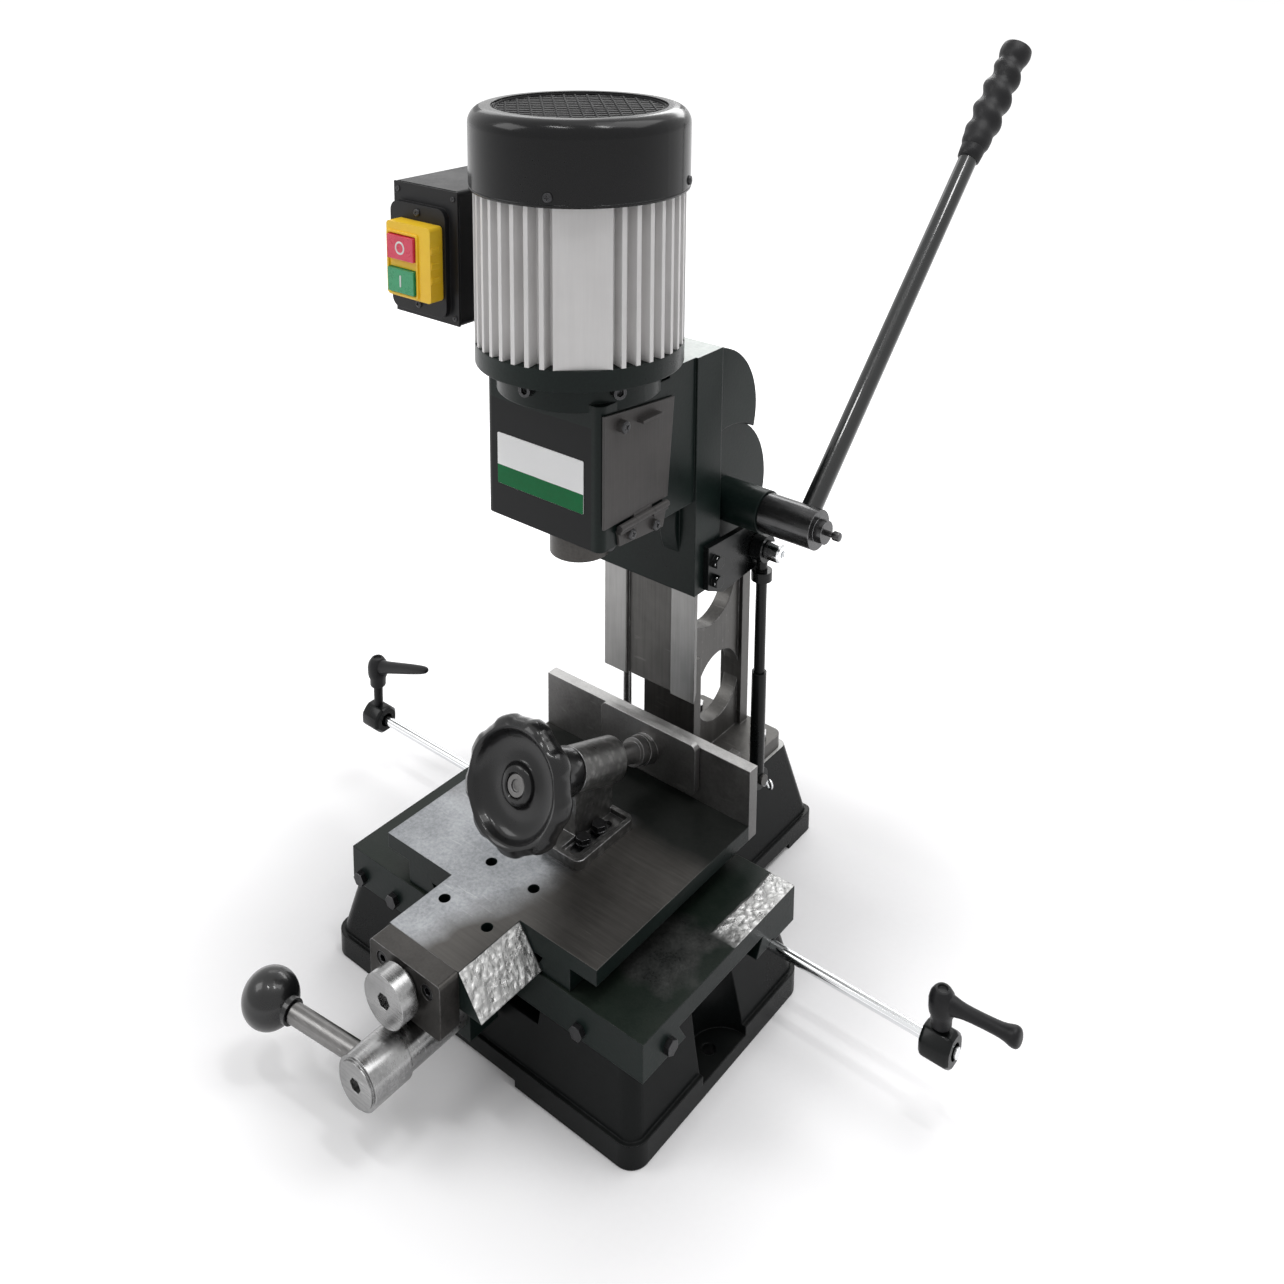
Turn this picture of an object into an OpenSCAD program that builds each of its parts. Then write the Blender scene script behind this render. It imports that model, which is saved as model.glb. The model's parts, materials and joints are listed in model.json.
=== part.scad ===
// Bench mortiser: a motor head that slides on a dovetail column over a cross-slide table.
// Units are millimetres. +Z is up, +X is the operator's right and the operator stands at -Y.
// The origin is on the underside, midway between the two bench bolt holes.
// Inside the modules Y is counted from the drill axis, which from_axis() puts in its place.

/* [Base] */
// Distance of the drill axis behind the bench bolt holes
axis_y = 19; // [15:1:22]
// Width of the base over its foot
base_w = 304; // [300:1:310]
// Height of the wide part of the base
base_top = 60.7; // [60:0.1:60.8]
// Height of the pedestal under the column
pedestal_top = 84; // [82:1:86]
// Distance of each bench bolt hole from the side of the base
bench_bolt_in = 14; // [12:1:16]
// Diameter of each bench bolt hole
bench_bolt_d = 10; // [8:0.5:11]
// Wall thickness of the base casting
base_wall = 8; // [7:0.5:9]

/* [Column] */
// Height of the top of the column
column_top = 385; // [375:1:386]
// Width over the column's dovetail at its front
column_w = 92; // [90:1:94]
// Height of the lower end of the dovetail
dovetail_bottom = 190; // [185:1:195]
// Thickness of the column's web
web_t = 14; // [12:1:14]

/* [Cross slides] */
// Sideways position of the saddle and the table
slide_x = 5; // [5:1:5]
// Length of the saddle
saddle_w = 288; // [284:1:290]
// Height of the saddle's upper face
saddle_top = 90; // [89.5:0.1:90]
// Width of the table
table_w = 207; // [200:1:212]
// Height of the table's upper face
table_top = 120; // [119:0.5:122]
// Thickness of the table's plate
table_t = 12; // [11:0.5:12]
// Height of the fence above the table
fence_h = 46; // [42:1:50]
// Thickness of the fence
fence_t = 10; // [8:0.5:10]
// Diameter of the stop rod
stop_rod_d = 8; // [7:0.5:8]

/* [Feed gears] */
// Module of the head feed's teeth
feed_module = 2; // [2:1:2]
// Teeth on the head feed pinion
feed_teeth = 28; // [28:1:28]
// Module of the saddle feed's teeth
x_module = 1.5; // [1.5:0.5:1.5]
// Teeth on the saddle feed pinion
x_teeth = 16; // [16:1:16]
// Pressure angle of the teeth
pressure_angle = 20; // [20:1:20]

/* [Head] */
// Height of the underside of the head's box
head_bottom = 370; // [368:1:372]
// Height of the top of the head's box
head_top = 476; // [474:1:478]
// Width of the head's box
head_w = 110; // [106:1:110]
// Width of the slide that wraps the column
head_slide_w = 114; // [112:1:116]
// Outside diameter of the chisel bush
bush_d = 45; // [42:1:48]
// Bore of the chisel bush
bush_bore = 19; // [16:0.5:22]

/* [Motor] */
// Diameter over the motor's fins
stator_d = 150; // [148:1:150]
// Number of fins round the motor
fin_count = 42; // [38:2:46]
// Diameter of the fan cover
cover_d = 156; // [154:1:160]
// Height of the top of the fan cover
motor_top = 673; // [668:1:678]
// Height of the fan cover
cover_h = 57; // [54:1:60]

/* [Levers] */
// Length of the feed lever from its pivot to the end of the grip
lever_reach = 483; // [440:1:500]
// Lean of the feed lever to the back
lever_lean = 46.3; // [40:0.1:50]
// Diameter of the feed lever's rod
lever_d = 16; // [14:0.5:16]
// Diameter of the ball on the saddle feed lever
ball_d = 40; // [34:1:42]
// Diameter of the clamp's handwheel
clamp_wheel_d = 94; // [88:1:98]
// Downward tilt of the clamp screw towards the fence
clamp_tilt = 19; // [17:1:20]

/* [Fits] */
// Gap on each side of a sliding or turning fit
fit_gap = 0.05; // [0.03:0.01:0.08]
// Gap between a dovetail and its slide
way_gap = 0.12; // [0.1:0.01:0.15]
// Gap round a shape that something passes freely
free_gap = 0.4; // [0.35:0.05:0.5]
// Gap between a screw and its hole
screw_gap = 0.1; // [0.05:0.05:0.15]

/* [Hidden] */
$fn = 64;

// Overlap that keeps a cut clear of the face it starts from
cut = 1;
// Thickness of the slabs that a sloping wall is stretched between
skin = 0.5;
// Turns that aim a shape drawn along +Z
to_x = [0, 90, 0];
to_left = [0, -90, 0];
to_back = [-90, 0, 0];
to_front = [90, 0, 0];

// Colours
iron = [0.55, 0.56, 0.57];
paint = [0.1, 0.11, 0.11];
dark = [0.16, 0.16, 0.17];
steel = [0.7, 0.71, 0.72];
yellow = [0.93, 0.8, 0.2];

// Base
base_half = base_w / 2;
bench_bolt_pitch = base_w - 2 * bench_bolt_in;
lip_h = 18;
base_front = -120;
base_back = 82;
pedestal_half = 66;
pedestal_front = 70;
pedestal_back = 238;
wall_slope = 0.219;
wall_step = 3;
lip_r = 14;
pocket_r = 26;
pocket_floor = 11;
bolt_y = -axis_y;
relief_h = 5;

// Dovetail between base and saddle, widest at its top
way_slope = tan(30);
x_way_z = [base_top, 74.7];
x_way_y = [-66, 30];
x_way_x = [-118, 118];
gib_t = 4;

// Saddle
saddle_z = [61, saddle_top];
saddle_x = [slide_x - saddle_w / 2 + 0.5, slide_x + saddle_w / 2 + 0.5];
saddle_y = [-109, 72];
y_way_z = [saddle_top, 102];
y_way_x = [slide_x - 55, slide_x + 55];
y_way_y = [-82, 72];
gib_screw_z = 68;
gib_screw_x = [-128, -91, 95];
gib_lock = [-82, 70];

// Saddle feed
x_feed_z = 58.6;
x_pinion_r = x_module * x_teeth / 2;
x_shaft_d = 14;
x_pinion_y = [-96, -86];
x_rack_x = [-64, 64];
x_rack_z = [36, x_feed_z - x_pinion_r];
sleeve_d = 33;
sleeve_y = [-192, -118];
sleeve_boss_x = [-14.5, 24.5];
x_hub_d = 37;
x_hub_y = [-225, -192.4];
x_rod_d = 14;
x_rod_y = -206;
x_rod_swing = 6.3;
x_ball_at = 101;

// Cross feed
cross_z = 103;
cross_d = 12;
cross_hub_d = 38;
cross_hub_y = [-200, -187];
cross_neck_d = 26;
nut_y = [-62, -38];
nut_half = 14;
nut_z = [92, 110];

// Table
table_x = [slide_x - table_w / 2, slide_x + table_w / 2];
table_y = [-107, 70.6];
table_under = table_top - table_t;
table_slide_x = [slide_x - 80, slide_x + 80];
table_slide_z = [90.4, table_under];
tongue_y = [-165, table_y[0]];
tongue_top_half = 34;
tongue_foot_half = 55;
tongue_bottom = 92.5;
table_hole_d = 8.5;
table_hole_x = [-16.3, 26];
table_hole_y = [-79.5, -125.8];
plate_y = [-182, tongue_y[0]];
plate_z = [79, table_top];
plate_half = 34.5;
fence_y = [table_y[1], table_y[1] + fence_t];
fence_bolt_x = [-70, 5, 80];

// Clamp
clamp_x = 14;
clamp_pad = [clamp_x, 61, 148.8];
clamp_boss_w = [45, 95];
clamp_boss_d = 34;
clamp_screw_d = 16;
jaw_y = [63.6, 69.6];
jaw_x = [-33, 62];
jaw_z = [127, 170];
tray_x = [0, 41];
tray_y = [-48, 16];
tray_z = [table_top, 128];
slot_x = 26;
slot_y = [-34, 0];
slot_w = 9;
post_x = [-4, 20];
post_y = [-28, 14];

// Column
col_front = 83;
col_back = 97;
col_mid_back = 90.4;
col_land = 22.6;
col_mid = 26;
neck_y = [111, 120];
neck_top = 205;
spine_half = 11;
spine_y = [201, 212];
foot_x = [-46, 46];
foot_y = [98, 216];
foot_t = 12;
foot_top = pedestal_top + foot_t;
foot_bolt_x = 34;
foot_bolt_y = [115, 196];
low_hole = [171, 148];
low_hole_r = 31;
high_hole = [160, 243];
high_hole_r = 34;
stop_post = [-40, 105.8];
stop_post_d = 7;

// Head feed
feed_axis = [121, 350];
feed_r = feed_module * feed_teeth / 2;
feed_pinion_x = [8.5, 21.5];
feed_rack_x = [web_t / 2, 22];
feed_rack_z = [258, 364];
feed_rack_back = 163;
lever_shaft_d = 16;

// Strut beside the column
strut = [68, 142];
strut_low_z = 104;
strut_high_z = 307;
strut_d = 12;
strut_rod_d = 9;

// Head
box_front = -41;
slide_y = [66, 98];
slide_z = [293, 483];
collar_d = 120;
collar_z = [head_top - 6, 490];
spigot_d = 90;
spigot_z = 478;
bush_z = [341, head_bottom];
hinge_at = [head_w / 2 + 3.5, 384];
door_screw_at = [[-12, 375.5], [15.2, 372]];
door_t = 1.7;
disc_d = 121;
disc_x = [27, 42];
boss_x = 85;
boss_d = 34;

// Motor
shield_z = [collar_z[1], 505];
stator_z = [shield_z[1], motor_top - cover_h];
rotor_bore = 92;
fan_top = stator_z[1] + 32;
fin_depth = 10;
fin_pitch = 360 / fin_count;
flat_fins = 4;
flat_angle = -47;
flat_turn = 15.4;
// Outline points of a fin and of the flat, each as an angle from its middle and a depth
fin_profile = [[-2.2, fin_depth], [-1.3, 0], [1.3, 0], [2.2, fin_depth]];
flat_profile = [[-flat_turn - 1, fin_depth], [-flat_turn, 0], [flat_turn, 0], [flat_turn + 1, fin_depth]];
motor_shaft_d = 14;

// Switch
box_x = [-147, -78];
box_y = [-42, 33];
box_z = [505, 606];
cover_x = [-146, -87];
cover_y = [-48, box_y[0]];
cover_z = [510, 592];
body_x = [-137, -90];
body_y = [-60, cover_y[0]];
body_z = [524, 580];
button_x = [-133.5, -105];
off_z = [552.5, 571];
on_z = [527.5, 546];

// Stop collars on the rod
stop_y = 42;
stop_z = 60;
stop_rod_x = [-300, 297];
collar_size = 22;
stop_left_x = -288;
stop_right_x = 284;

// Section: shared shapes

module from_axis() {
    translate([0, axis_y, 0])
        children();
}

module block(x, y, z) {
    translate([x[0], y[0], z[0]])
        cube([x[1] - x[0], y[1] - y[0], z[1] - z[0]]);
}

module rod_x(d, x, y, z) {
    translate([x[0], y, z])
        rotate(to_x)
            cylinder(d = d, h = x[1] - x[0]);
}

module rod_y(d, x, y, z) {
    translate([x, y[0], z])
        rotate(to_back)
            cylinder(d = d, h = y[1] - y[0]);
}

module rod_z(d, x, y, z) {
    translate([x, y, z[0]])
        cylinder(d = d, h = z[1] - z[0]);
}

// A flat outline in Y and Z, as thick as x
module slab_x(x) {
    translate([x[0], 0, 0])
        rotate([90, 0, 90])
            linear_extrude(x[1] - x[0])
                children();
}

// A flat outline in X and Z, as thick as y
module slab_y(y) {
    translate([0, y[1], 0])
        rotate([90, 0, 0])
            linear_extrude(y[1] - y[0])
                children();
}

module slab_z(z) {
    translate([0, 0, z[0]])
        linear_extrude(z[1] - z[0])
            children();
}

module rounded(x, y, r) {
    translate([x[0] + r, y[0]])
        square([x[1] - x[0] - 2 * r, y[1] - y[0]]);
    translate([x[0], y[0] + r])
        square([x[1] - x[0], y[1] - y[0] - 2 * r]);
    for (cx = [x[0] + r, x[1] - r], cy = [y[0] + r, y[1] - r])
        translate([cx, cy])
            circle(r);
}

// A body with rounded corners whose walls lean in towards its top
module taper(x, y, z, r) {
    lean = wall_slope * (z[1] - z[0]);
    hull() {
        slab_z([z[0], z[0] + skin])
            rounded(x, y, r, $fn = 32);
        slab_z([z[1] - skin, z[1]])
            rounded([x[0] + lean, x[1] - lean], [y[0] + lean, y[1] - lean], r, $fn = 32);
    }
}

// Outline of a dovetail that is widest at its top, grown on its left and right
module dovetail(w, z, left = 0, right = 0, rise = 0, drop = 0) {
    lean = way_slope * (z[1] - z[0] + drop);
    over = way_slope * rise;
    polygon([
        [w[0] + lean - left, z[0] - drop],
        [w[1] - lean + right, z[0] - drop],
        [w[1] + over + right, z[1] + rise],
        [w[0] - over - left, z[1] + rise]
    ]);
}

function ring_half(r, pitch_r, base_r, t) =
    let (a = acos(base_r / pitch_r), b = r > base_r ? acos(base_r / r) : 0)
    (t / (2 * pitch_r) + tan(a) - a * PI / 180 - tan(b) + b * PI / 180) * 180 / PI;

// Outline of a pinion with curved flanks, one tooth pointing along +X
module pinion(m, teeth, tip, root, play) {
    pitch_r = m * teeth / 2;
    base_r = pitch_r * cos(pressure_angle);
    t = m * PI / 2 - play;
    steps = 5;
    radii = [for (i = [0:steps]) pitch_r - root + (root + tip) * i / steps];
    polygon([
        for (k = [0:teeth - 1], side = [-1, 1], i = [0:steps])
            let (r = side < 0 ? radii[i] : radii[steps - i],
                 a = 360 * k / teeth + side * ring_half(r, pitch_r, base_r, t))
            [r * cos(a), r * sin(a)]
    ]);
}

// Outline of a rack along X with its pitch line on the X axis and a gap at X = 0
module rack(m, span, tip, root, depth, play) {
    p = m * PI;
    half = (p / 2 - play) / 2;
    lean = tan(pressure_angle);
    first = ceil(span[0] / p);
    last = floor(span[1] / p) - 1;
    polygon(concat(
        [[span[0], -root]],
        [for (k = [first:last], c = [-1, 1], e = [0, 1])
            let (at = (k + 0.5) * p, high = c < 0 ? e : 1 - e)
            [at + c * (half - (high > 0 ? tip : -root) * lean), high > 0 ? tip : -root]],
        [[span[1], -root], [span[1], -depth], [span[0], -depth]]
    ));
}

// A screw whose head stands on the seat at Z = 0 and whose shank runs down
module cap_screw(d, length) {
    difference() {
        union() {
            cylinder(d = 1.6 * d, h = d);
            translate([0, 0, -length])
                cylinder(d = d, h = length + skin);
        }
        translate([0, 0, d / 2])
            cylinder(d = d, h = d, $fn = 6);
    }
}

module hex_bolt(d, length) {
    cylinder(d = 1.9 * d, h = 0.7 * d, $fn = 6);
    translate([0, 0, -length])
        cylinder(d = d, h = length + skin);
}

// Section: base, column and what is fixed to them

module base_outer() {
    slab_z([0, lip_h]) {
        rounded([-base_half, base_half], [base_front, base_back], lip_r);
        rounded([-pedestal_half, pedestal_half], [base_back - 2 * lip_r, pedestal_back], lip_r / 2);
    }
    taper([wall_step - base_half, base_half - wall_step],
          [base_front + wall_step, base_back - wall_step], [lip_h - cut, base_top], lip_r - wall_step);
    taper([wall_step - pedestal_half, pedestal_half - wall_step],
          [pedestal_front, pedestal_back - wall_step], [lip_h - cut, pedestal_top], lip_r / 2);
}

module base_hollow() {
    lean = wall_slope * lip_h;
    difference() {
        union() {
            taper([base_wall + lean - base_half, base_half - base_wall - lean],
                  [base_front + base_wall, base_back - base_wall - lean], [-cut, base_top - 10], 14);
            taper([base_wall + lean - pedestal_half, pedestal_half - base_wall - lean],
                  [pedestal_front + base_wall - 1, pedestal_back - base_wall], [-cut, pedestal_top - 10], 8);
        }
        for (side = [-1, 1])
            rod_z(2 * (pocket_r + base_wall), side * (base_half - 2), bolt_y, [-2 * cut, base_top]);
        block([x_rack_x[0] - 8, x_rack_x[1] + 8], [-106, -77], [x_rack_z[0] - 8, base_top]);
        for (side = [-1, 1], y = foot_bolt_y)
            rod_z(20, side * foot_bolt_x, y, [50, pedestal_top]);
    }
}

module base_casting() {
    color(paint)
        from_axis()
            difference() {
                union() {
                    base_outer();
                    slab_x(x_way_x)
                        dovetail(x_way_y, [base_top - cut, x_way_z[1]]);
                }
                base_hollow();
                for (side = [-1, 1]) {
                    rod_z(2 * pocket_r, side * (base_half - 2), bolt_y, [pocket_floor, base_top + cut]);
                    rod_z(bench_bolt_d, side * bench_bolt_pitch / 2, bolt_y, [-cut, pocket_floor + cut]);
                    block(side > 0 ? [pedestal_half - 30, pedestal_half + cut]
                                   : [-pedestal_half - cut, 30 - pedestal_half], [152, 200], [-cut, relief_h]);
                }
                block([-45, 45], [base_front - cut, base_front + 30], [-cut, relief_h]);
                block([x_rack_x[0] - 2, x_rack_x[1] + 2], [-99, -83], [x_rack_z[0], base_top + cut]);
                block([-58, 58], [base_front, -98], [50.4, base_top + cut]);
                rod_x(stop_rod_d + 2 * screw_gap, [-base_half, base_half], stop_y, stop_z);
                for (side = [-1, 1], y = foot_bolt_y)
                    rod_z(8 + 2 * screw_gap, side * foot_bolt_x, y, [58, pedestal_top + cut]);
            }
}

module column_web() {
    difference() {
        polygon([
            [col_mid_back - cut, column_top], [col_mid_back - cut, dovetail_bottom + cut],
            [neck_y[0] + cut, dovetail_bottom + cut], [neck_y[0] + cut, pedestal_top],
            [spine_y[0] + cut, pedestal_top], [spine_y[0] + cut, 300], [168, column_top]
        ]);
        translate(low_hole)
            circle(low_hole_r);
        translate(high_hole)
            circle(high_hole_r);
    }
}

module column() {
    half = column_w / 2;
    back_half = half - way_slope * (col_back - col_front);
    color(iron)
        from_axis()
            difference() {
                union() {
                    slab_z([dovetail_bottom, column_top])
                        polygon([
                            [-half, col_front], [-col_land, col_front], [-col_land, col_front + 3],
                            [col_land, col_front + 3], [col_land, col_front], [half, col_front],
                            [back_half, col_back], [col_mid, col_back], [col_mid, col_mid_back],
                            [-col_mid, col_mid_back], [-col_mid, col_back], [-back_half, col_back]
                        ]);
                    slab_x([-web_t / 2, web_t / 2])
                        column_web();
                    block([-col_mid, col_mid], neck_y, [pedestal_top, neck_top]);
                    block([-col_mid, col_mid], [col_mid_back - cut, neck_y[1]], [dovetail_bottom, neck_top]);
                    slab_x([-spine_half, spine_half])
                        polygon([
                            [spine_y[0], pedestal_top], [spine_y[1], pedestal_top], [spine_y[1], 300],
                            [176, column_top], [164, column_top], [spine_y[0], 300]
                        ]);
                    slab_z([pedestal_top, foot_top])
                        rounded(foot_x, foot_y, 8);
                    slab_x([38, foot_x[1]])
                        polygon([[130, foot_top - cut], [154, foot_top - cut], [150, 112], [134, 112]]);
                    rod_x(9, [38, strut[0] + 8], strut[1], strut_low_z);
                    rod_x(13, [foot_x[1] - cut, strut[0] - strut_d / 2 - fit_gap], strut[1], strut_low_z);
                }
                for (side = [-1, 1], y = foot_bolt_y)
                    rod_z(8 + 2 * screw_gap, side * foot_bolt_x, y, [pedestal_top - cut, foot_top + cut]);
                rod_z(stop_post_d + 2 * screw_gap, stop_post[0], stop_post[1], [88, foot_top + cut]);
            }
}

module column_bolts() {
    color(steel)
        from_axis()
            for (side = [-1, 1], y = foot_bolt_y)
                translate([side * foot_bolt_x, y, foot_top])
                    hex_bolt(8, 36);
}

module feed_rack() {
    color(steel)
        from_axis()
            difference() {
                slab_x(feed_rack_x)
                    translate([feed_axis[0] + feed_r, feed_axis[1]])
                        rotate(90)
                            rack(feed_module, [feed_rack_z[0] - feed_axis[1], feed_rack_z[1] - feed_axis[1]],
                                 2, 2.5, feed_rack_back - feed_axis[0] - feed_r, 0.15);
                for (z = [292, 322, 352])
                    rod_x(9, [feed_rack_x[1] - 6, feed_rack_x[1] + cut], 157, z);
            }
}

module x_rack() {
    color(steel)
        from_axis()
            slab_y([-98, -84])
                translate([slide_x, x_rack_z[1]])
                    rack(x_module, [x_rack_x[0] - slide_x, x_rack_x[1] - slide_x],
                         1.1, 1.6, x_rack_z[1] - x_rack_z[0], 0.15);
}

module stop_rod() {
    color(steel)
        from_axis()
            rod_x(stop_rod_d, stop_rod_x, stop_y, stop_z);
}

module depth_stop_rod() {
    color(steel)
        from_axis()
            rod_z(stop_post_d, stop_post[0], stop_post[1], [88, 330]);
}

module depth_stop_collar() {
    color(dark)
        from_axis()
            difference() {
                rod_z(15, stop_post[0], stop_post[1], [200, 212]);
                rod_z(stop_post_d + 2 * fit_gap, stop_post[0], stop_post[1], [199, 213]);
                rod_x(4, [stop_post[0], stop_post[0] + 9], stop_post[1], 206);
            }
}

module strut_cylinder() {
    color(dark)
        from_axis()
            difference() {
                union() {
                    rod_z(strut_d, strut[0], strut[1], [strut_low_z + 4, 199]);
                    rod_x(18, [strut[0] - 5, strut[0] + 5], strut[1], strut_low_z);
                }
                rod_z(strut_rod_d + 2 * fit_gap, strut[0], strut[1], [115, 200]);
                rod_x(9 + 2 * screw_gap, [strut[0] - 6, strut[0] + 6], strut[1], strut_low_z);
            }
}

// Section: stops on the rod

module stop_collar(x) {
    half = collar_size / 2;
    difference() {
        union() {
            rod_x(collar_size + 3, [x - half, x + half], stop_y, stop_z);
            rod_z(16, x, stop_y, [stop_z, stop_z + half + 3]);
        }
        rod_x(stop_rod_d + 2 * fit_gap, [x - half - cut, x + half + cut], stop_y, stop_z);
        rod_z(8 + 2 * fit_gap, x, stop_y, [stop_z + 3, stop_z + half + 4]);
    }
}

// A clamping lever on a stud: its boss stands at height top, and its arm rises by lift
module stop_lever(x, top, reach, lift) {
    boss_bottom = top - 9;
    rod_z(8, x, stop_y, [stop_z + 5, boss_bottom + cut]);
    rod_z(18, x, stop_y, [boss_bottom, top + 7]);
    translate([x, stop_y, top])
        rotate([0, 90 - lift, 0]) {
            cylinder(d = 9, h = reach - 20);
            translate([0, 0, reach - 26])
                cylinder(d1 = 10, d2 = 15, h = 24);
            translate([0, 0, reach - 2])
                sphere(d = 15);
        }
}

module stop_collar_left() {
    color(dark)
        from_axis()
            stop_collar(stop_left_x);
}

module stop_lever_left() {
    color(dark)
        from_axis()
            stop_lever(stop_left_x, 110, 68, 19);
}

module stop_collar_right() {
    color(dark)
        from_axis()
            stop_collar(stop_right_x);
}

module stop_lever_right() {
    color(dark)
        from_axis()
            stop_lever(stop_right_x, 93, 50, 4);
}

// Section: saddle and its lengthways feed

module saddle() {
    color(paint)
        from_axis()
            difference() {
                union() {
                    block(saddle_x, saddle_y, saddle_z);
                    slab_y(y_way_y)
                        dovetail(y_way_x, [y_way_z[0] - cut, y_way_z[1]]);
                    block(sleeve_boss_x, [-142, saddle_y[0] + cut], [saddle_z[0], 78]);
                    block(sleeve_boss_x, [-142, -115], [40, saddle_z[0] + cut]);
                }
                slab_x([saddle_x[0] - cut, saddle_x[1] + cut])
                    dovetail(x_way_y, x_way_z, gib_t + 2 * way_gap, way_gap, 0.3, 2);
                rod_x(stop_rod_d + 2 * free_gap, [saddle_x[0] - cut, saddle_x[1] + cut], stop_y, stop_z);
                rod_y(sleeve_d + 2 * screw_gap, slide_x, [-143, sleeve_y[1]], x_feed_z);
                block([slide_x - 8, slide_x + 8], [sleeve_y[1] - cut, -98], [saddle_z[0] - 25, 66.6]);
                block([slide_x - 15.5, slide_x + 15.5], [-101, -82], [saddle_z[0] - cut, 74.5]);
                block([slide_x - nut_half, slide_x + nut_half], [y_way_y[0] - cut, y_way_y[1] + cut],
                      [nut_z[0], y_way_z[1] + cut]);
                for (x = gib_screw_x)
                    rod_y(6 + 2 * screw_gap, x, [saddle_y[0] - cut, x_way_y[0] + cut], gib_screw_z);
                rod_x(6 + 2 * screw_gap, [saddle_x[1] - 42, saddle_x[1] + cut], gib_lock[0], gib_lock[1]);
                for (y = [nut_y[0] + 7, nut_y[1] - 7])
                    rod_z(4.2, slide_x + 9.5, y, [80, nut_z[0] + cut]);
            }
}

// Front face of the base's dovetail at a height, moved forward by a gap
function way_face(z, gap) = x_way_y[0] + way_slope * (x_way_z[1] - z) - gap;

module saddle_gib() {
    low = saddle_z[0] + 0.2;
    high = x_way_z[1] - 0.1;
    color(steel)
        from_axis()
            slab_x([saddle_x[0] + 10, saddle_x[1] - 10])
                polygon([
                    [way_face(low, way_gap), low], [way_face(high, way_gap), high],
                    [way_face(high, way_gap + gib_t), high], [way_face(low, way_gap + gib_t), low]
                ]);
}

module saddle_gib_screws() {
    reach = way_face(gib_screw_z + 3, way_gap + gib_t) - saddle_y[0] - 0.1;
    color(steel)
        from_axis() {
            for (x = gib_screw_x)
                translate([x, saddle_y[0], gib_screw_z])
                    rotate(to_front)
                        hex_bolt(6, reach);
            translate([saddle_x[1], gib_lock[0], gib_lock[1]])
                rotate(to_x)
                    hex_bolt(6, reach);
        }
}

module feed_sleeve() {
    color(steel)
        from_axis()
            difference() {
                rod_y(sleeve_d, slide_x, sleeve_y, x_feed_z);
                rod_y(x_shaft_d + 2 * fit_gap, slide_x, [sleeve_y[0] - cut, sleeve_y[1] + cut], x_feed_z);
            }
}

module cross_nut() {
    color([0.7, 0.58, 0.32])
        from_axis()
            difference() {
                block([slide_x - nut_half + 0.1, slide_x + nut_half - 0.1], nut_y, nut_z);
                rod_y(cross_d + 2 * fit_gap, slide_x, [nut_y[0] - cut, nut_y[1] + cut], cross_z);
            }
}

module x_pinion_shaft() {
    color(steel)
        from_axis() {
            rod_y(x_shaft_d, slide_x, [x_hub_y[0] + 6, x_pinion_y[1] + 2], x_feed_z);
            slab_y(x_pinion_y)
                translate([slide_x, x_feed_z])
                    rotate(-90)
                        pinion(x_module, x_teeth, 1.1, 1.6, 0.15);
        }
}

module x_lever_frame() {
    translate([slide_x, x_rod_y, x_feed_z])
        rotate([0, -90, x_rod_swing])
            children();
}

module x_hub() {
    color(steel)
        from_axis()
            difference() {
                union() {
                    rod_y(x_hub_d, slide_x, [x_hub_y[0] + 2, x_hub_y[1]], x_feed_z);
                    rod_y(x_hub_d - 5, slide_x, [x_hub_y[0], x_hub_y[0] + 3], x_feed_z);
                }
                rod_y(x_shaft_d + 2 * fit_gap, slide_x, [x_hub_y[0] + 6, x_hub_y[1] + cut], x_feed_z);
                x_lever_frame()
                    translate([0, 0, x_shaft_d / 2 + 1.5])
                        cylinder(d = x_rod_d + 2 * screw_gap, h = 20);
                translate([slide_x, x_hub_y[0] - cut, x_feed_z])
                    rotate(to_back)
                        cylinder(d = 11, h = 6, $fn = 6);
            }
}

module x_lever_rod() {
    color(steel)
        from_axis()
            x_lever_frame()
                translate([0, 0, x_shaft_d / 2 + 2]) {
                    cylinder(d = x_rod_d, h = x_ball_at - ball_d / 2 - 12);
                    cylinder(d = 10, h = x_ball_at - x_shaft_d / 2 - 2);
                }
}

module x_ball_knob() {
    color(dark)
        from_axis()
            x_lever_frame()
                translate([0, 0, x_ball_at])
                    difference() {
                        union() {
                            sphere(d = ball_d);
                            translate([0, 0, 1 - ball_d / 2])
                                cylinder(d = 18, h = 6, center = true);
                        }
                        translate([0, 0, -ball_d])
                            cylinder(d = 10 + 2 * screw_gap, h = ball_d + 1);
                    }
}

// Section: table

module tongue_outline() {
    polygon([
        [slide_x - tongue_top_half, table_top], [slide_x + tongue_top_half, table_top],
        [slide_x + tongue_foot_half, tongue_bottom], [slide_x - tongue_foot_half, tongue_bottom]
    ]);
}

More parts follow.
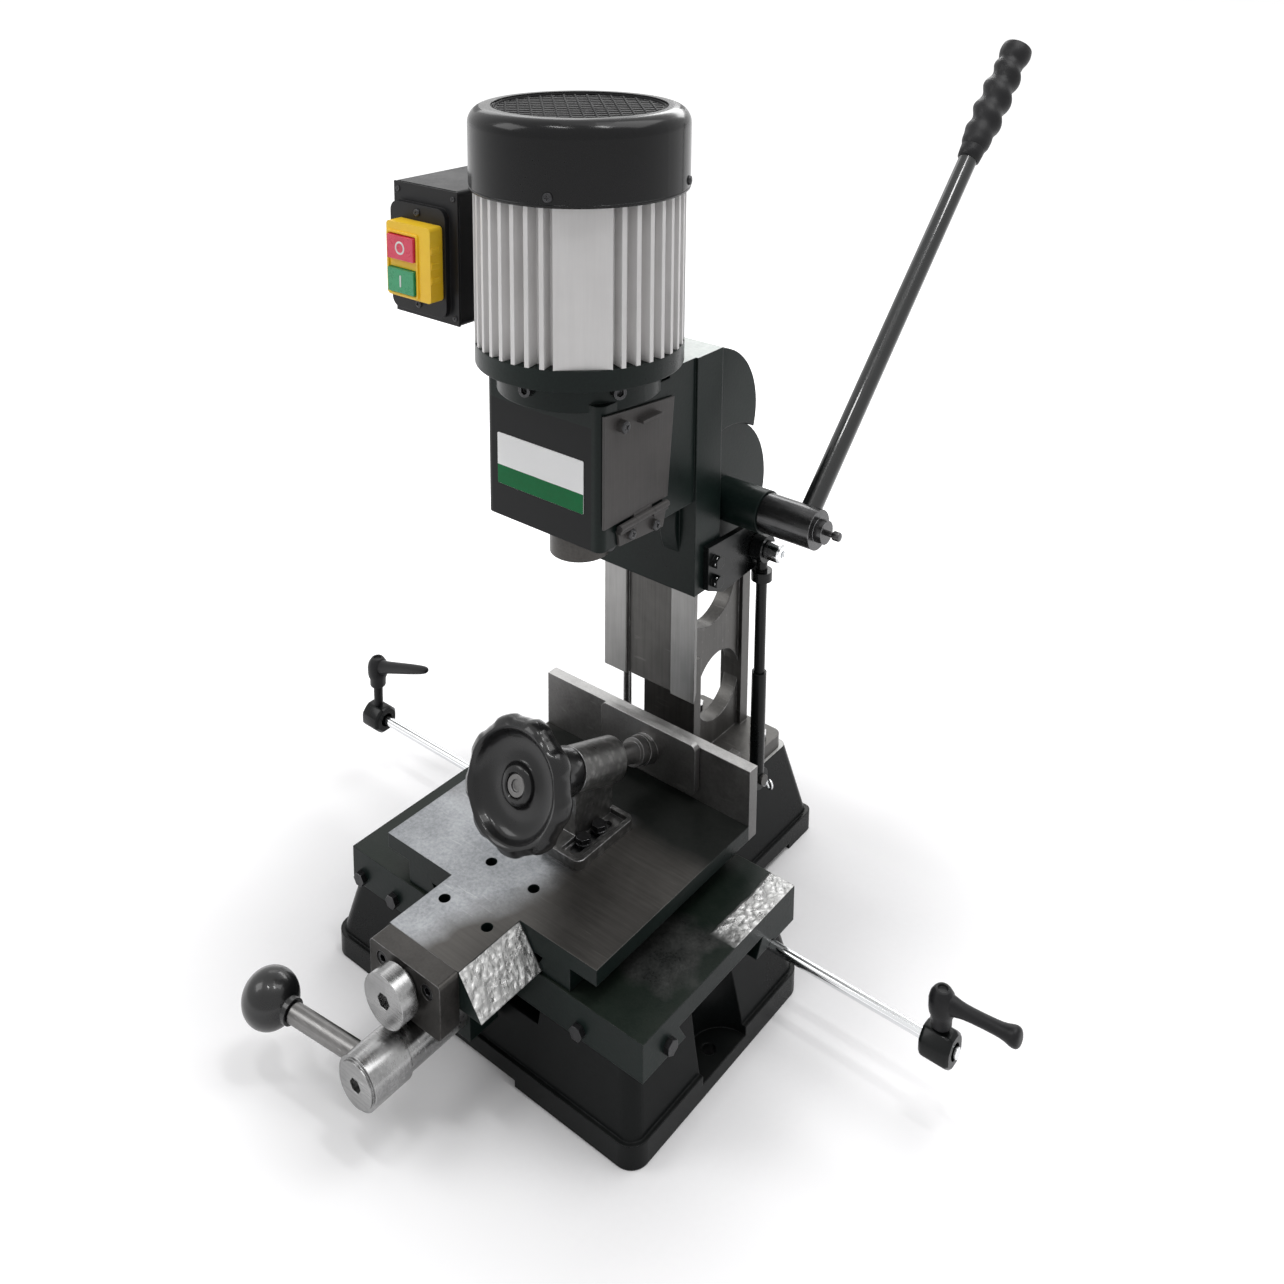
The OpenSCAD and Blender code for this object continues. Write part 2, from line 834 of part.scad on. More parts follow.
module table() {
    color(iron)
        from_axis()
            difference() {
                union() {
                    block(table_x, table_y, [table_under, table_top]);
                    block(table_slide_x, [table_y[0], table_y[1] - 0.6], [table_slide_z[0], table_under + cut]);
                    slab_y([tongue_y[0], tongue_y[1] + cut])
                        tongue_outline();
                }
                slab_y([table_y[0], table_y[1] + cut])
                    dovetail(y_way_x, y_way_z, way_gap, way_gap, 0.3, 1);
                block([slide_x - nut_half - 1, slide_x + nut_half + 1], [table_y[0] + 8, table_y[1] + cut],
                      [y_way_z[1], nut_z[1] + 0.6]);
                rod_y(cross_d + 4, slide_x, [tongue_y[0] - cut, table_y[0] + 9], cross_z);
                for (x = table_hole_x) {
                    rod_z(table_hole_d, x, table_hole_y[0], [y_way_z[1], table_top + cut]);
                    rod_z(table_hole_d, x, table_hole_y[1], [table_top - 16, table_top + cut]);
                }
                for (y = [slot_y[0] + 8, slot_y[1] - 8])
                    rod_z(6 + 2 * screw_gap, slot_x, y, [table_top - 9.3, table_top + cut]);
                for (x = fence_bolt_x)
                    rod_y(6 + 2 * screw_gap, x, [table_y[1] - 18, table_y[1] + cut], table_top - 5.5);
                for (x = [-22, 22])
                    rod_y(6 + 2 * screw_gap, slide_x + x, [tongue_y[0] - cut, tongue_y[0] + 20], 110);
            }
}

module front_plate() {
    color(paint)
        from_axis()
            difference() {
                slab_y(plate_y)
                    rounded([slide_x - plate_half, slide_x + plate_half], plate_z, 3);
                rod_y(cross_d + 2 * fit_gap, slide_x, [plate_y[0] - cut, plate_y[1] + cut], cross_z);
                for (x = [-22, 22]) {
                    rod_y(6 + 2 * screw_gap, slide_x + x, [plate_y[0] - cut, plate_y[1] + cut], 110);
                    rod_y(11, slide_x + x, [plate_y[0] - cut, plate_y[0] + 6.5], 110);
                }
            }
}

module front_plate_screws() {
    color(dark)
        from_axis()
            for (x = [-22, 22])
                translate([slide_x + x, plate_y[0] + 6.5, 110])
                    rotate(to_front)
                        cap_screw(6, 26);
}

module fence() {
    color(iron)
        from_axis()
            difference() {
                block(table_x, fence_y, [table_under, table_top + fence_h]);
                for (x = fence_bolt_x)
                    rod_y(6 + 2 * screw_gap, x, [fence_y[0] - cut, fence_y[1] + cut], table_top - 5.5);
            }
}

module fence_bolts() {
    color(dark)
        from_axis()
            for (x = fence_bolt_x)
                translate([x, fence_y[1], table_top - 5.5])
                    rotate(to_back)
                        hex_bolt(6, 26);
}

// Section: clamp

// Along the clamp screw: Z = 0 at the jaw, and +Z towards the handwheel
module clamp_frame() {
    translate(clamp_pad)
        rotate([90 - clamp_tilt, 0, 0])
            children();
}

module clamp_bracket() {
    color(paint)
        from_axis()
            difference() {
                union() {
                    slab_z(tray_z)
                        rounded(tray_x, tray_y, 6);
                    clamp_frame()
                        translate([0, 0, clamp_boss_w[0]])
                            cylinder(d = clamp_boss_d, h = clamp_boss_w[1] - clamp_boss_w[0]);
                    slab_x(post_x)
                        polygon([[post_y[0], table_top], [post_y[1], table_top], [post_y[1], 162], [post_y[0], 178]]);
                }
                block([post_x[1], tray_x[1] - 4], [tray_y[0] + 4, tray_y[1] - 4], [tray_z[0] + 4, tray_z[1] + cut]);
                block([slot_x - slot_w / 2, slot_x + slot_w / 2], slot_y, [table_top - cut, tray_z[1]]);
                for (y = slot_y)
                    rod_z(slot_w, slot_x, y, [table_top - cut, tray_z[1]]);
                clamp_frame()
                    translate([0, 0, clamp_boss_w[0] - 12])
                        cylinder(d = clamp_screw_d + 2 * fit_gap, h = 70);
            }
}

module clamp_bracket_bolts() {
    color(dark)
        from_axis()
            for (y = [slot_y[0] + 8, slot_y[1] - 8])
                translate([slot_x, y, tray_z[0] + 5.6]) {
                    hex_bolt(6, 14);
                    translate([0, 0, -1.6])
                        cylinder(d = 11.6, h = 1.6);
                }
}

module clamp_jaw() {
    color(iron)
        from_axis()
            difference() {
                union() {
                    slab_y(jaw_y)
                        rounded(jaw_x, jaw_z, 5);
                    clamp_frame()
                        translate([0, 0, -6])
                            cylinder(d = 24, h = 13);
                }
                clamp_frame()
                    translate([0, 0, 0])
                        cylinder(d = 10 + 2 * fit_gap, h = 10);
            }
}

module clamp_screw() {
    color(steel)
        from_axis()
            clamp_frame() {
                translate([0, 0, 0.3])
                    cylinder(d = 10, h = 9);
                translate([0, 0, 7.5])
                    cylinder(d = 22, h = 8);
                translate([0, 0, 15])
                    cylinder(d = clamp_screw_d, h = 123);
            }
}

module clamp_handwheel() {
    rim = clamp_wheel_d / 2;
    color(dark)
        from_axis()
            clamp_frame()
                difference() {
                    union() {
                        rotate_extrude()
                            polygon([
                                [0, 97.5], [18, 97.5], [19, 130], [rim - 14, 133], [rim - 4, 131], [rim - 4, 157],
                                [rim - 9, 160], [rim - 11, 150], [rim - 16, 141], [14, 141], [12, 150], [0, 150]
                            ]);
                        for (a = [0:60:300])
                            rotate([0, 0, a])
                                rotate_extrude(angle = 38)
                                    polygon([[rim - 6, 133], [rim - 1, 133], [rim, 136], [rim, 153], [rim - 2, 157],
                                             [rim - 6, 157]]);
                    }
                    translate([0, 0, 97])
                        cylinder(d = clamp_screw_d + 2 * screw_gap, h = 42);
                }
}

// Section: cross feed

module cross_screw() {
    color(steel)
        from_axis() {
            rod_y(cross_d, slide_x, [cross_hub_y[0] + 8, nut_y[1] + 55], cross_z);
            rod_y(15, slide_x, [tongue_y[0] + 0.3, tongue_y[0] + 6], cross_z);
        }
}

module cross_screw_hub() {
    color(steel)
        from_axis()
            difference() {
                union() {
                    rod_y(cross_hub_d, slide_x, cross_hub_y, cross_z);
                    rod_y(cross_neck_d, slide_x, [cross_hub_y[1] - cut, plate_y[0] - 0.4], cross_z);
                }
                rod_y(cross_d + 2 * screw_gap, slide_x, [cross_hub_y[0] + 8, plate_y[0] + cut], cross_z);
                translate([slide_x, cross_hub_y[0] - cut, cross_z])
                    rotate(to_back)
                        cylinder(d = 12, h = 7, $fn = 6);
                rod_z(5, slide_x, -184.8, [cross_z + 8, cross_z + 14]);
            }
}

// Section: head

module head_slot() {
    half = column_w / 2 + way_gap;
    back = half - way_slope * (slide_y[1] + cut - col_front);
    polygon([
        [-half - gib_t - way_gap, col_front - way_gap], [half, col_front - way_gap],
        [back, slide_y[1] + cut], [-back - gib_t - way_gap, slide_y[1] + cut]
    ]);
}

module head_casting() {
    color(paint)
        from_axis()
            difference() {
                union() {
                    slab_z([head_bottom, head_top])
                        rounded([-head_w / 2, head_w / 2], [box_front, slide_y[0] + 10], 6);
                    block([-head_w / 2, head_w / 2], [35, slide_y[1]], [head_top - cut, slide_z[1]]);
                    block([-head_slide_w / 2, head_slide_w / 2], slide_y, slide_z);
                    rod_z(collar_d, 0, 0, collar_z);
                    rod_x(disc_d, disc_x, feed_axis[0], feed_axis[1]);
                    rod_x(boss_d, [disc_x[1] - cut, boss_x], feed_axis[0], feed_axis[1]);
                    block([stop_post[0] - 8, stop_post[0] + 8], [slide_y[1] - cut, 112], [300, 312]);
                }
                slab_z([slide_z[0] - cut, 470])
                    head_slot();
                block([8 - head_w / 2, head_w / 2 - 8], [-33, 50], [head_bottom + 8, 466]);
                block([head_w / 2 - 15, head_w / 2 + cut], [-34, 22], [390, 456]);
                rod_z(spigot_d + 2 * screw_gap, 0, 0, [spigot_z, collar_z[1] + cut]);
                rod_z(44, 0, 0, [460, spigot_z + cut]);
                rod_z(36 + 2 * screw_gap, 0, 0, [head_bottom - cut, head_bottom + 9]);
                rod_x(lever_shaft_d + 2 * fit_gap, [disc_x[0] - cut, boss_x + cut], feed_axis[0], feed_axis[1]);
                rod_z(stop_post_d + 2 * free_gap, stop_post[0], stop_post[1], [299, 313]);
                for (z = [310, 380, 450])
                    rod_x(6 + 2 * screw_gap, [-head_slide_w / 2 - cut, -44], 90, z);
                for (a = [-84, -24, 96, 156])
                    rotate([0, 0, a])
                        union() {
                            rod_x(6 + 2 * screw_gap, [spigot_d / 2 - 3, collar_d / 2 + cut], 0, 484);
                            rod_x(10.4, [collar_d / 2 - 0.3, collar_d / 2 + 8], 0, 484);
                        }
                for (p = door_screw_at)
                    rod_x(4 + 2 * screw_gap, [head_w / 2 - 7, head_w / 2 + cut], p[0], p[1]);
            }
}

module head_gib() {
    half = column_w / 2 + way_gap;
    back = half - way_slope * (slide_y[1] - col_front);
    color(steel)
        from_axis()
            slab_z([slide_z[0] + 4, 466])
                polygon([
                    [-half, col_front], [-half - gib_t, col_front],
                    [-back - gib_t, slide_y[1]], [-back, slide_y[1]]
                ]);
}

module head_gib_screws() {
    flank = column_w / 2 + way_gap + gib_t - way_slope * (90 - col_front);
    color(steel)
        from_axis()
            for (z = [310, 380, 450])
                translate([-head_slide_w / 2, 90, z])
                    rotate(to_left)
                        hex_bolt(6, head_slide_w / 2 - flank - 1.8);
}

module rear_cover() {
    centre = [slide_y[1], 418];
    color(dark)
        from_axis() {
            slab_x([disc_x[0] + 1, 48])
                difference() {
                    cover_sector(centre, 60);
                    translate(centre)
                        circle(57);
                }
            slab_x([45, 48])
                cover_sector(centre, 60);
        }
}

// The quarter between the back of the slide and the round housing
module cover_sector(centre, r) {
    difference() {
        intersection() {
            translate(centre)
                circle(r);
            translate([centre[0], 395])
                square([r + cut, 90]);
        }
        translate(feed_axis)
            circle(disc_d / 2);
    }
}

module chisel_bush() {
    color(steel)
        from_axis()
            difference() {
                union() {
                    rod_z(bush_d, 0, 0, bush_z);
                    rod_z(36, 0, 0, [bush_z[1] - cut, bush_z[1] + 7.5]);
                }
                rod_z(bush_bore, 0, 0, [bush_z[0] - cut, bush_z[1] + 9]);
                rod_x(8 + 2 * screw_gap, [bush_bore / 2 - 2, bush_d / 2 + cut], 0, 355);
            }
}

module bush_screw() {
    color(dark)
        from_axis()
            translate([bush_d / 2, 0, 355])
                rotate(to_x)
                    cap_screw(8, bush_d / 2 - bush_bore / 2 - 0.5);
}

module door_strip() {
    x = [head_w / 2, head_w / 2 + 2];
    color(steel)
        from_axis() {
            slab_x(x)
                polygon([[-25, 381.5], [30, 380.5], [26, 366], [-23, 370]]);
            for (y = [[-25, -8.2], [12.2, 29]]) {
                block([x[0], hinge_at[0]], y, [379.5, 382]);
                rod_y(5, hinge_at[0], y, hinge_at[1]);
                block([hinge_at[0] - 2, hinge_at[0] + 1], y, [379.5, hinge_at[1]]);
            }
            rod_y(2.4, hinge_at[0], [-25, 29], hinge_at[1]);
            for (p = door_screw_at)
                translate([x[1], p[0], p[1]])
                    rotate(to_x)
                        cylinder(d = 8, h = 2.4);
            for (p = door_screw_at)
                rod_x(4, [x[0] - 6, x[1] + cut], p[0], p[1]);
        }
}

module access_door() {
    x = [head_w / 2 + 0.3, head_w / 2 + 0.3 + door_t];
    color(paint)
        from_axis() {
            difference() {
                union() {
                    slab_x(x)
                        polygon([[-40, 470], [38, 462], [31, 388], [-40, 388]]);
                    rod_y(5, hinge_at[0], [-8, 12], hinge_at[1]);
                    block([x[0], hinge_at[0] - 1], [-8, 12], [hinge_at[1] + 1, 389]);
                    rod_x(9, [x[0] + cut, x[1] + 5], -23, 459);
                    block([x[0], x[1] + 6], [-5, 17], [456, 458]);
                }
                rod_y(2.4 + 2 * fit_gap, hinge_at[0], [-9, 13], hinge_at[1]);
            }
        }
}

// Section: motor

module motor_end_shield() {
    color(dark)
        from_axis()
            difference() {
                union() {
                    rod_z(stator_d, 0, 0, shield_z);
                    rod_z(spigot_d, 0, 0, [spigot_z + 0.5, shield_z[0] + cut]);
                }
                rod_z(motor_shaft_d + 2 * fit_gap, 0, 0, [spigot_z - cut, shield_z[1] + cut]);
                rod_z(rotor_bore, 0, 0, [shield_z[0] + 6, shield_z[1] + cut]);
            }
}

module motor_screws() {
    color(steel)
        from_axis()
            for (a = [-84, -24, 96, 156])
                rotate([0, 0, a])
                    translate([collar_d / 2 - 0.3, 0, 484])
                        rotate(to_x)
                            cap_screw(6, collar_d / 2 - spigot_d / 2 - 0.6);
}

function stator_point(a, p) = (stator_d / 2 - p[1]) * [cos(a + p[0]), sin(a + p[0])];

module motor_stator() {
    r = stator_d / 2;
    color(paint)
        from_axis()
            difference() {
                union() {
                    slab_z(stator_z)
                        polygon(concat(
                            [for (p = flat_profile) stator_point(flat_angle, p)],
                            [for (i = [0:fin_count - flat_fins - 1], p = fin_profile)
                                stator_point(flat_angle + fin_pitch * (i + (flat_fins + 1) / 2), p)]
                        ));
                    block([box_x[1], 15 - r], [-28, 28], [stator_z[0] + 5, stator_z[1] - 12]);
                }
                rod_z(rotor_bore, 0, 0, [stator_z[0] - cut, stator_z[1] - 8]);
                rod_z(12 + 2 * fit_gap, 0, 0, [stator_z[1] - 9, stator_z[1] + cut]);
            }
}

module cover_profile(r, top, edge) {
    square([r - edge, top]);
    square([r, top - edge]);
    translate([r - edge, top - edge])
        circle(edge);
}

module fan_cover() {
    h = cover_h;
    vent_r = 58;
    color(dark)
        from_axis()
            difference() {
                translate([0, 0, stator_z[1]])
                    rotate_extrude()
                        difference() {
                            cover_profile(cover_d / 2, h, 12);
                            translate([0, -cut])
                                square([cover_d / 2 - 12, h - 2]);
                            translate([0, -cut])
                                cover_profile(cover_d / 2 - 3, h - 3, 9);
                            translate([0, h - 2])
                                square([vent_r + 4, 2 + cut]);
                        }
                for (i = [-7:7])
                    rotate([0, 0, 45])
                        block([-sqrt(vent_r * vent_r - 64 * i * i), sqrt(vent_r * vent_r - 64 * i * i)],
                              [8 * i - 2, 8 * i + 2], [motor_top - 12, motor_top + cut]);
            }
}

module rotor() {
    color(steel)
        from_axis() {
            rod_z(motor_shaft_d, 0, 0, [420, stator_z[1] - 16]);
            rod_z(rotor_bore - 4, 0, 0, [stator_z[0] + 10, stator_z[1] - 20]);
            rod_z(12, 0, 0, [stator_z[1] - 17, stator_z[1] + 34]);
        }
}

module drill_chuck() {
    color(steel)
        from_axis()
            difference() {
                union() {
                    rod_z(36, 0, 0, [398, 442]);
                    translate([0, 0, 384])
                        cylinder(d1 = 20, d2 = 36, h = 14.5);
                    rod_z(28, 0, 0, [441, 450]);
                }
                rod_z(motor_shaft_d + 2 * screw_gap, 0, 0, [419, 451]);
                rod_z(10, 0, 0, [383, 412]);
            }
}

module cooling_fan() {
    color(dark)
        from_axis()
            difference() {
                union() {
                    rod_z(120, 0, 0, [stator_z[1] + 8, stator_z[1] + 11]);
                    rod_z(28, 0, 0, [stator_z[1] + 8, fan_top]);
                    for (a = [0:45:315])
                        rotate([0, 0, a])
                            block([12, 58], [-1.5, 1.5], [stator_z[1] + 10, fan_top]);
                }
                rod_z(12 + 2 * screw_gap, 0, 0, [stator_z[1] + 7, fan_top + cut]);
            }
}

// Section: switch

module switch_box() {
    color(dark)
        from_axis()
            difference() {
                slab_y(box_y)
                    rounded(box_x, box_z, 4);
                block([box_x[0] + 3, box_x[1] - 3], [box_y[0] - cut, box_y[1] - 3],
                      [box_z[0] + 3, box_z[1] - 3]);
            }
}

module switch_plate() {
    color(dark)
        from_axis()
            difference() {
                union() {
                    slab_y(cover_y)
                        rounded(cover_x, cover_z, 8);
                    block([box_x[0] + 0.5, box_x[1] - 0.5], [box_y[0] - 1.5, box_y[0]],
                          [box_z[0] + 0.5, box_z[1] - 0.5]);
                }
                block([body_x[0] + 4, body_x[1] - 4], [cover_y[0] - cut, cover_y[1] + cut],
                      [body_z[0] + 4, body_z[1] - 4]);
            }
}

module switch_body() {
    color(yellow)
        from_axis()
            difference() {
                union() {
                    slab_y(body_y)
                        rounded(body_x, body_z, 3);
                    block([body_x[0] + 4.3, body_x[1] - 4.3], [body_y[1] - cut, box_y[0] + 24],
                          [body_z[0] + 4.3, body_z[1] - 4.3]);
                }
                for (z = [off_z, on_z])
                    block(button_x, [body_y[0] - cut, body_y[0] + 11], z);
            }
}

module button(z) {
    gap = 0.35;
    block([button_x[0] + gap, button_x[1] - gap], [body_y[0] - 3, body_y[0] + 5], [z[0] + gap, z[1] - gap]);
}

module off_button() {
    color([0.8, 0.2, 0.25])
        from_axis()
            button(off_z);
}

module on_button() {
    color([0.25, 0.6, 0.38])
        from_axis()
            button(on_z);
}

// Section: strut ends on the head

module strut_bracket() {
    x = [head_slide_w / 2, head_slide_w / 2 + 5];
    color(dark)
        from_axis() {
            slab_x(x)
                polygon([[77, 295], [97, 286], [152, 290], [152, 318], [130, 328], [77, 330]]);
            for (p = [[86, 316], [86, 300]])
                translate([x[1], p[0], p[1]])
                    rotate(to_x)
                        cylinder(d = 11, h = 5, $fn = 6);
            rod_x(12, [x[0] + cut, strut[0] + 8], strut[1], strut_high_z);
        }
}

module strut_rod() {
    color(dark)
        from_axis()
            difference() {
                union() {
                    rod_z(strut_rod_d, strut[0], strut[1], [196, strut_high_z - 8]);
                    rod_z(17, strut[0], strut[1], [280, 288]);
                    rod_x(22, [strut[0] - 5, strut[0] + 5], strut[1], strut_high_z);
                }
                rod_x(12 + 2 * screw_gap, [strut[0] - 6, strut[0] + 6], strut[1], strut_high_z);
            }
}

// Section: feed lever

// Along the lever: Z = 0 on the pinion's axis, and +Z towards the grip
module lever_frame() {
    translate([118, feed_axis[0], feed_axis[1]])
        rotate([-lever_lean, 0, 0])
            children();
}

module lever_shaft() {
    color(steel)
        from_axis() {
            rod_x(lever_shaft_d, [feed_pinion_x[0], 128], feed_axis[0], feed_axis[1]);
            slab_x(feed_pinion_x)
                translate(feed_axis)
                    pinion(feed_module, feed_teeth, 2, 2.5, 0.15);
        }
}

module lever_hub() {
    color(dark)
        from_axis()
            difference() {
                union() {
                    rod_x(31, [boss_x + 0.4, 131], feed_axis[0], feed_axis[1]);
                    rod_x(18, [130, 138], feed_axis[0], feed_axis[1]);
                }
                rod_x(lever_shaft_d + 2 * screw_gap, [boss_x, 128.2], feed_axis[0], feed_axis[1]);
                lever_frame()
                    translate([0, 0, lever_shaft_d / 2 + 0.8])
                        cylinder(d = lever_d + 2 * screw_gap, h = 20);
            }
}

module lever_rod() {
    color(steel)
        from_axis()
            lever_frame()
                translate([0, 0, lever_shaft_d / 2 + 1])
                    cylinder(d = lever_d, h = lever_reach - 40);
}

module lever_grip() {
    start = lever_reach - 119;
    color(dark)
        from_axis()
            lever_frame()
                difference() {
                    rotate_extrude()
                        polygon([
                            [0, start], [11, start], [14, start + 8], [15, start + 24], [13.4, start + 40],
                            [14.6, start + 56], [13.4, start + 72], [14.6, start + 88], [14, start + 102],
                            [16.5, start + 112], [14, start + 119], [0, start + 119]
                        ]);
                    translate([0, 0, start - cut])
                        cylinder(d = lever_d + 2 * screw_gap, h = lever_reach - start - 28);
                }
}

base_casting();
column();
column_bolts();
feed_rack();
x_rack();
stop_rod();
depth_stop_rod();
depth_stop_collar();
strut_cylinder();
stop_collar_left();
stop_lever_left();
stop_collar_right();
stop_lever_right();
saddle();
saddle_gib();
saddle_gib_screws();
feed_sleeve();
cross_nut();
x_pinion_shaft();
x_hub();
x_lever_rod();
x_ball_knob();
table();
front_plate();
front_plate_screws();
fence();
fence_bolts();
clamp_bracket();
clamp_bracket_bolts();
clamp_jaw();
clamp_screw();
clamp_handwheel();
cross_screw();
cross_screw_hub();
head_casting();
head_gib();
head_gib_screws();
rear_cover();
chisel_bush();
bush_screw();
door_strip();
access_door();
motor_end_shield();
motor_screws();
motor_stator();
fan_cover();
rotor();
drill_chuck();
cooling_fan();
switch_box();
switch_plate();
switch_body();
off_button();
on_button();
strut_bracket();
strut_rod();
lever_shaft();
lever_hub();
lever_rod();
lever_grip();
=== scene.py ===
"""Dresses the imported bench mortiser: finishes, moulded and worn detail, camera, lamps and floor."""

import json
import logging
import math
from dataclasses import dataclass
from enum import Enum
from typing import Callable, Optional, Sequence

import bmesh
import bpy
from mathutils import Matrix, Vector

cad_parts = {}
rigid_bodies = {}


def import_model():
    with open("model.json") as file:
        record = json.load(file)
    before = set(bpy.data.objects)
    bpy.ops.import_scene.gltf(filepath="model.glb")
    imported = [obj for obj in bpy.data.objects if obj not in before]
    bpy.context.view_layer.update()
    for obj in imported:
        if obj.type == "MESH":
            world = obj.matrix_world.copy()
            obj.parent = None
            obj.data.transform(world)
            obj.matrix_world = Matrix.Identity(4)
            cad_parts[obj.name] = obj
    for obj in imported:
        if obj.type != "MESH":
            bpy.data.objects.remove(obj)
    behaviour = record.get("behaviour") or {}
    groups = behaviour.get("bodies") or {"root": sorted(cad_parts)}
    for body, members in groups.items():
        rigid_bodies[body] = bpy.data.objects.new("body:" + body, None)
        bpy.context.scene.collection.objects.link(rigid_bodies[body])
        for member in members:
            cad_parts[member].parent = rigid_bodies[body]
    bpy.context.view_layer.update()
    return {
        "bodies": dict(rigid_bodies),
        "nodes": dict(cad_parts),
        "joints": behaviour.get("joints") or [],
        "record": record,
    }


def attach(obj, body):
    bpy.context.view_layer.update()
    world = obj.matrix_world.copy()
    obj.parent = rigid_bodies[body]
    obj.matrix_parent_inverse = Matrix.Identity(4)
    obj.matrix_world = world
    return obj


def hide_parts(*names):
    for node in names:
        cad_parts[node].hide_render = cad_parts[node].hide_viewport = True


Socket = bpy.types.NodeSocket
Tree = bpy.types.NodeTree
Point = tuple[float, float, float]
Colour = tuple[float, float, float]
Pair = tuple[float, float]
Profile = Sequence[Pair]
Rings = Sequence[Sequence[Vector]]
Change = Callable[[float, float, float], float]

LOG = logging.getLogger("mortiser")
MM = 0.001
AXIS_BEHIND_ORIGIN = 19.0
RIGHT = Vector((1, 0, 0))
BACK = Vector((0, 1, 0))
FRONT = Vector((0, -1, 0))
UP = Vector((0, 0, 1))

FLOAT = "NodeSocketFloat"
VECTOR = "NodeSocketVector"
ZERO = (0.0, 0.0, 0.0)
WHITE = (1.0, 1.0, 1.0, 1.0)
WELD_DISTANCE = 1e-7
ROUNDING_STEPS = 3
BLOTCH_SHARE = 0.62
LOWEST_ROUGHNESS = 0.02
SCRATCH_GAIN, SCRATCH_LIFT, SCRATCH_DEPTH = 2.2, 0.03, 0.00002


def at(x: float, y: float, z: float) -> Vector:
    """Places a point of the machine in the part's frame.

    Args:
        x: Millimetres to the right of the chisel's axis.
        y: Millimetres behind the chisel's axis.
        z: Millimetres above the bench.

    Returns:
        The point in metres.
    """
    return Vector((x, y + AXIS_BEHIND_ORIGIN, z)) * MM


def tilted(origin: Vector, axis: Vector, side: Vector = RIGHT) -> Matrix:
    """Makes the frame of a piece that is turned or moulded about its own axis.

    Args:
        origin: Where the piece's own zero stands, in metres.
        axis: The direction that becomes the piece's Z.
        side: A direction near the piece's X.

    Returns:
        The matrix that carries the piece's own millimetres into the part's frame.
    """
    z = axis.normalized()
    x = (side - z * side.dot(z)).normalized()
    turn = Matrix((x, z.cross(x), z)).transposed().to_4x4()
    return Matrix.Translation(origin) @ turn @ Matrix.Scale(MM, 4)


class Grain(Enum):
    """Which way the marks of a tool run on a surface."""

    NONE = (1.0, 1.0, 1.0)
    ALONG_X = (0.04, 1.0, 1.0)
    UPRIGHT = (1.0, 1.0, 0.04)


class Graph:
    """A node tree, with short calls that add nodes and join their sockets."""

    def __init__(self, tree: Tree) -> None:
        """Keeps the tree and starts it empty."""
        self.tree = tree
        tree.nodes.clear()

    def add(self, kind: str, inputs: Optional[dict] = None, **settings: object) -> bpy.types.Node:
        """Adds a node.

        Args:
            kind: The node's type name.
            inputs: Plain values or sockets, by input name or number.
            settings: Attributes of the node.

        Returns:
            The new node.
        """
        node = self.tree.nodes.new(kind)
        for key, value in settings.items():
            setattr(node, key, value)
        for key, value in (inputs or {}).items():
            if isinstance(value, Socket):
                self.tree.links.new(value, node.inputs[key])
            else:
                node.inputs[key].default_value = value
        return node

    def maths(self, operation: str, a: object, b: object = 0.0, clamp: bool = False) -> Socket:
        """Joins two numbers by one operation."""
        return self.add("ShaderNodeMath", {0: a, 1: b}, operation=operation, use_clamp=clamp).outputs[0]

    def vector(self, operation: str, a: object, b: object = ZERO) -> Socket:
        """Joins two vectors by one operation, which gives a vector, or for some a number."""
        node = self.add("ShaderNodeVectorMath", {0: a, 1: b}, operation=operation)
        return node.outputs["Value" if operation in ("DOT_PRODUCT", "LENGTH") else "Vector"]

    def ramp(self, value: object, low: object, high: object, to: Pair = (0.0, 1.0)) -> Socket:
        """Spreads the values between low and high over another range, and clamps them."""
        inputs = {"Value": value, "From Min": low, "From Max": high, "To Min": to[0], "To Max": to[1]}
        return self.add("ShaderNodeMapRange", inputs, clamp=True).outputs[0]

    def noise(self, place: Socket, scale: object, detail: float, roughness: float = 0.5) -> Socket:
        """Gives the value of a noise at a place."""
        inputs = {"Vector": place, "Scale": scale, "Detail": detail, "Roughness": roughness}
        return self.add("ShaderNodeTexNoise", inputs).outputs[0]

    def group(self, tree: Tree, inputs: dict) -> bpy.types.NodeOutputs:
        """Uses a node group and gives its outputs."""
        return self.add("ShaderNodeGroup", inputs, node_tree=tree).outputs

    def blend(self, factor: object, a: object, b: object) -> Socket:
        """Blends two colours by a factor."""
        a, b = (value if isinstance(value, Socket) else (*value, 1.0) for value in (a, b))
        return self.add("ShaderNodeMix", {0: factor, 6: a, 7: b}, data_type="RGBA").outputs[2]

    def mix(self, factor: object, a: object, b: object) -> Socket:
        """Blends two numbers by a factor."""
        return self.add("ShaderNodeMix", {0: factor, 2: a, 3: b}, data_type="FLOAT").outputs[0]


class Group(Graph):
    """A node group with named sockets."""

    def __init__(self, name: str, inputs: dict[str, object], outputs: dict[str, str]) -> None:
        """Makes the group.

        Args:
            name: The group's name.
            inputs: Each input's name and its default, a number or a vector.
            outputs: Each output's name and socket type.
        """
        super().__init__(bpy.data.node_groups.new(name, "ShaderNodeTree"))
        for key, default in inputs.items():
            kind = VECTOR if isinstance(default, tuple) else FLOAT
            self.tree.interface.new_socket(key, in_out="INPUT", socket_type=kind).default_value = default
        for key, kind in outputs.items():
            self.tree.interface.new_socket(key, in_out="OUTPUT", socket_type=kind)
        self.given = self.add("NodeGroupInput").outputs
        self.result = self.add("NodeGroupOutput").inputs

    def close(self, **results: Socket) -> Tree:
        """Joins the results to the outputs of their names.

        Args:
            results: A socket for each output.

        Returns:
            The group's tree.
        """
        for key, socket in results.items():
            self.tree.links.new(socket, self.result[key])
        return self.tree


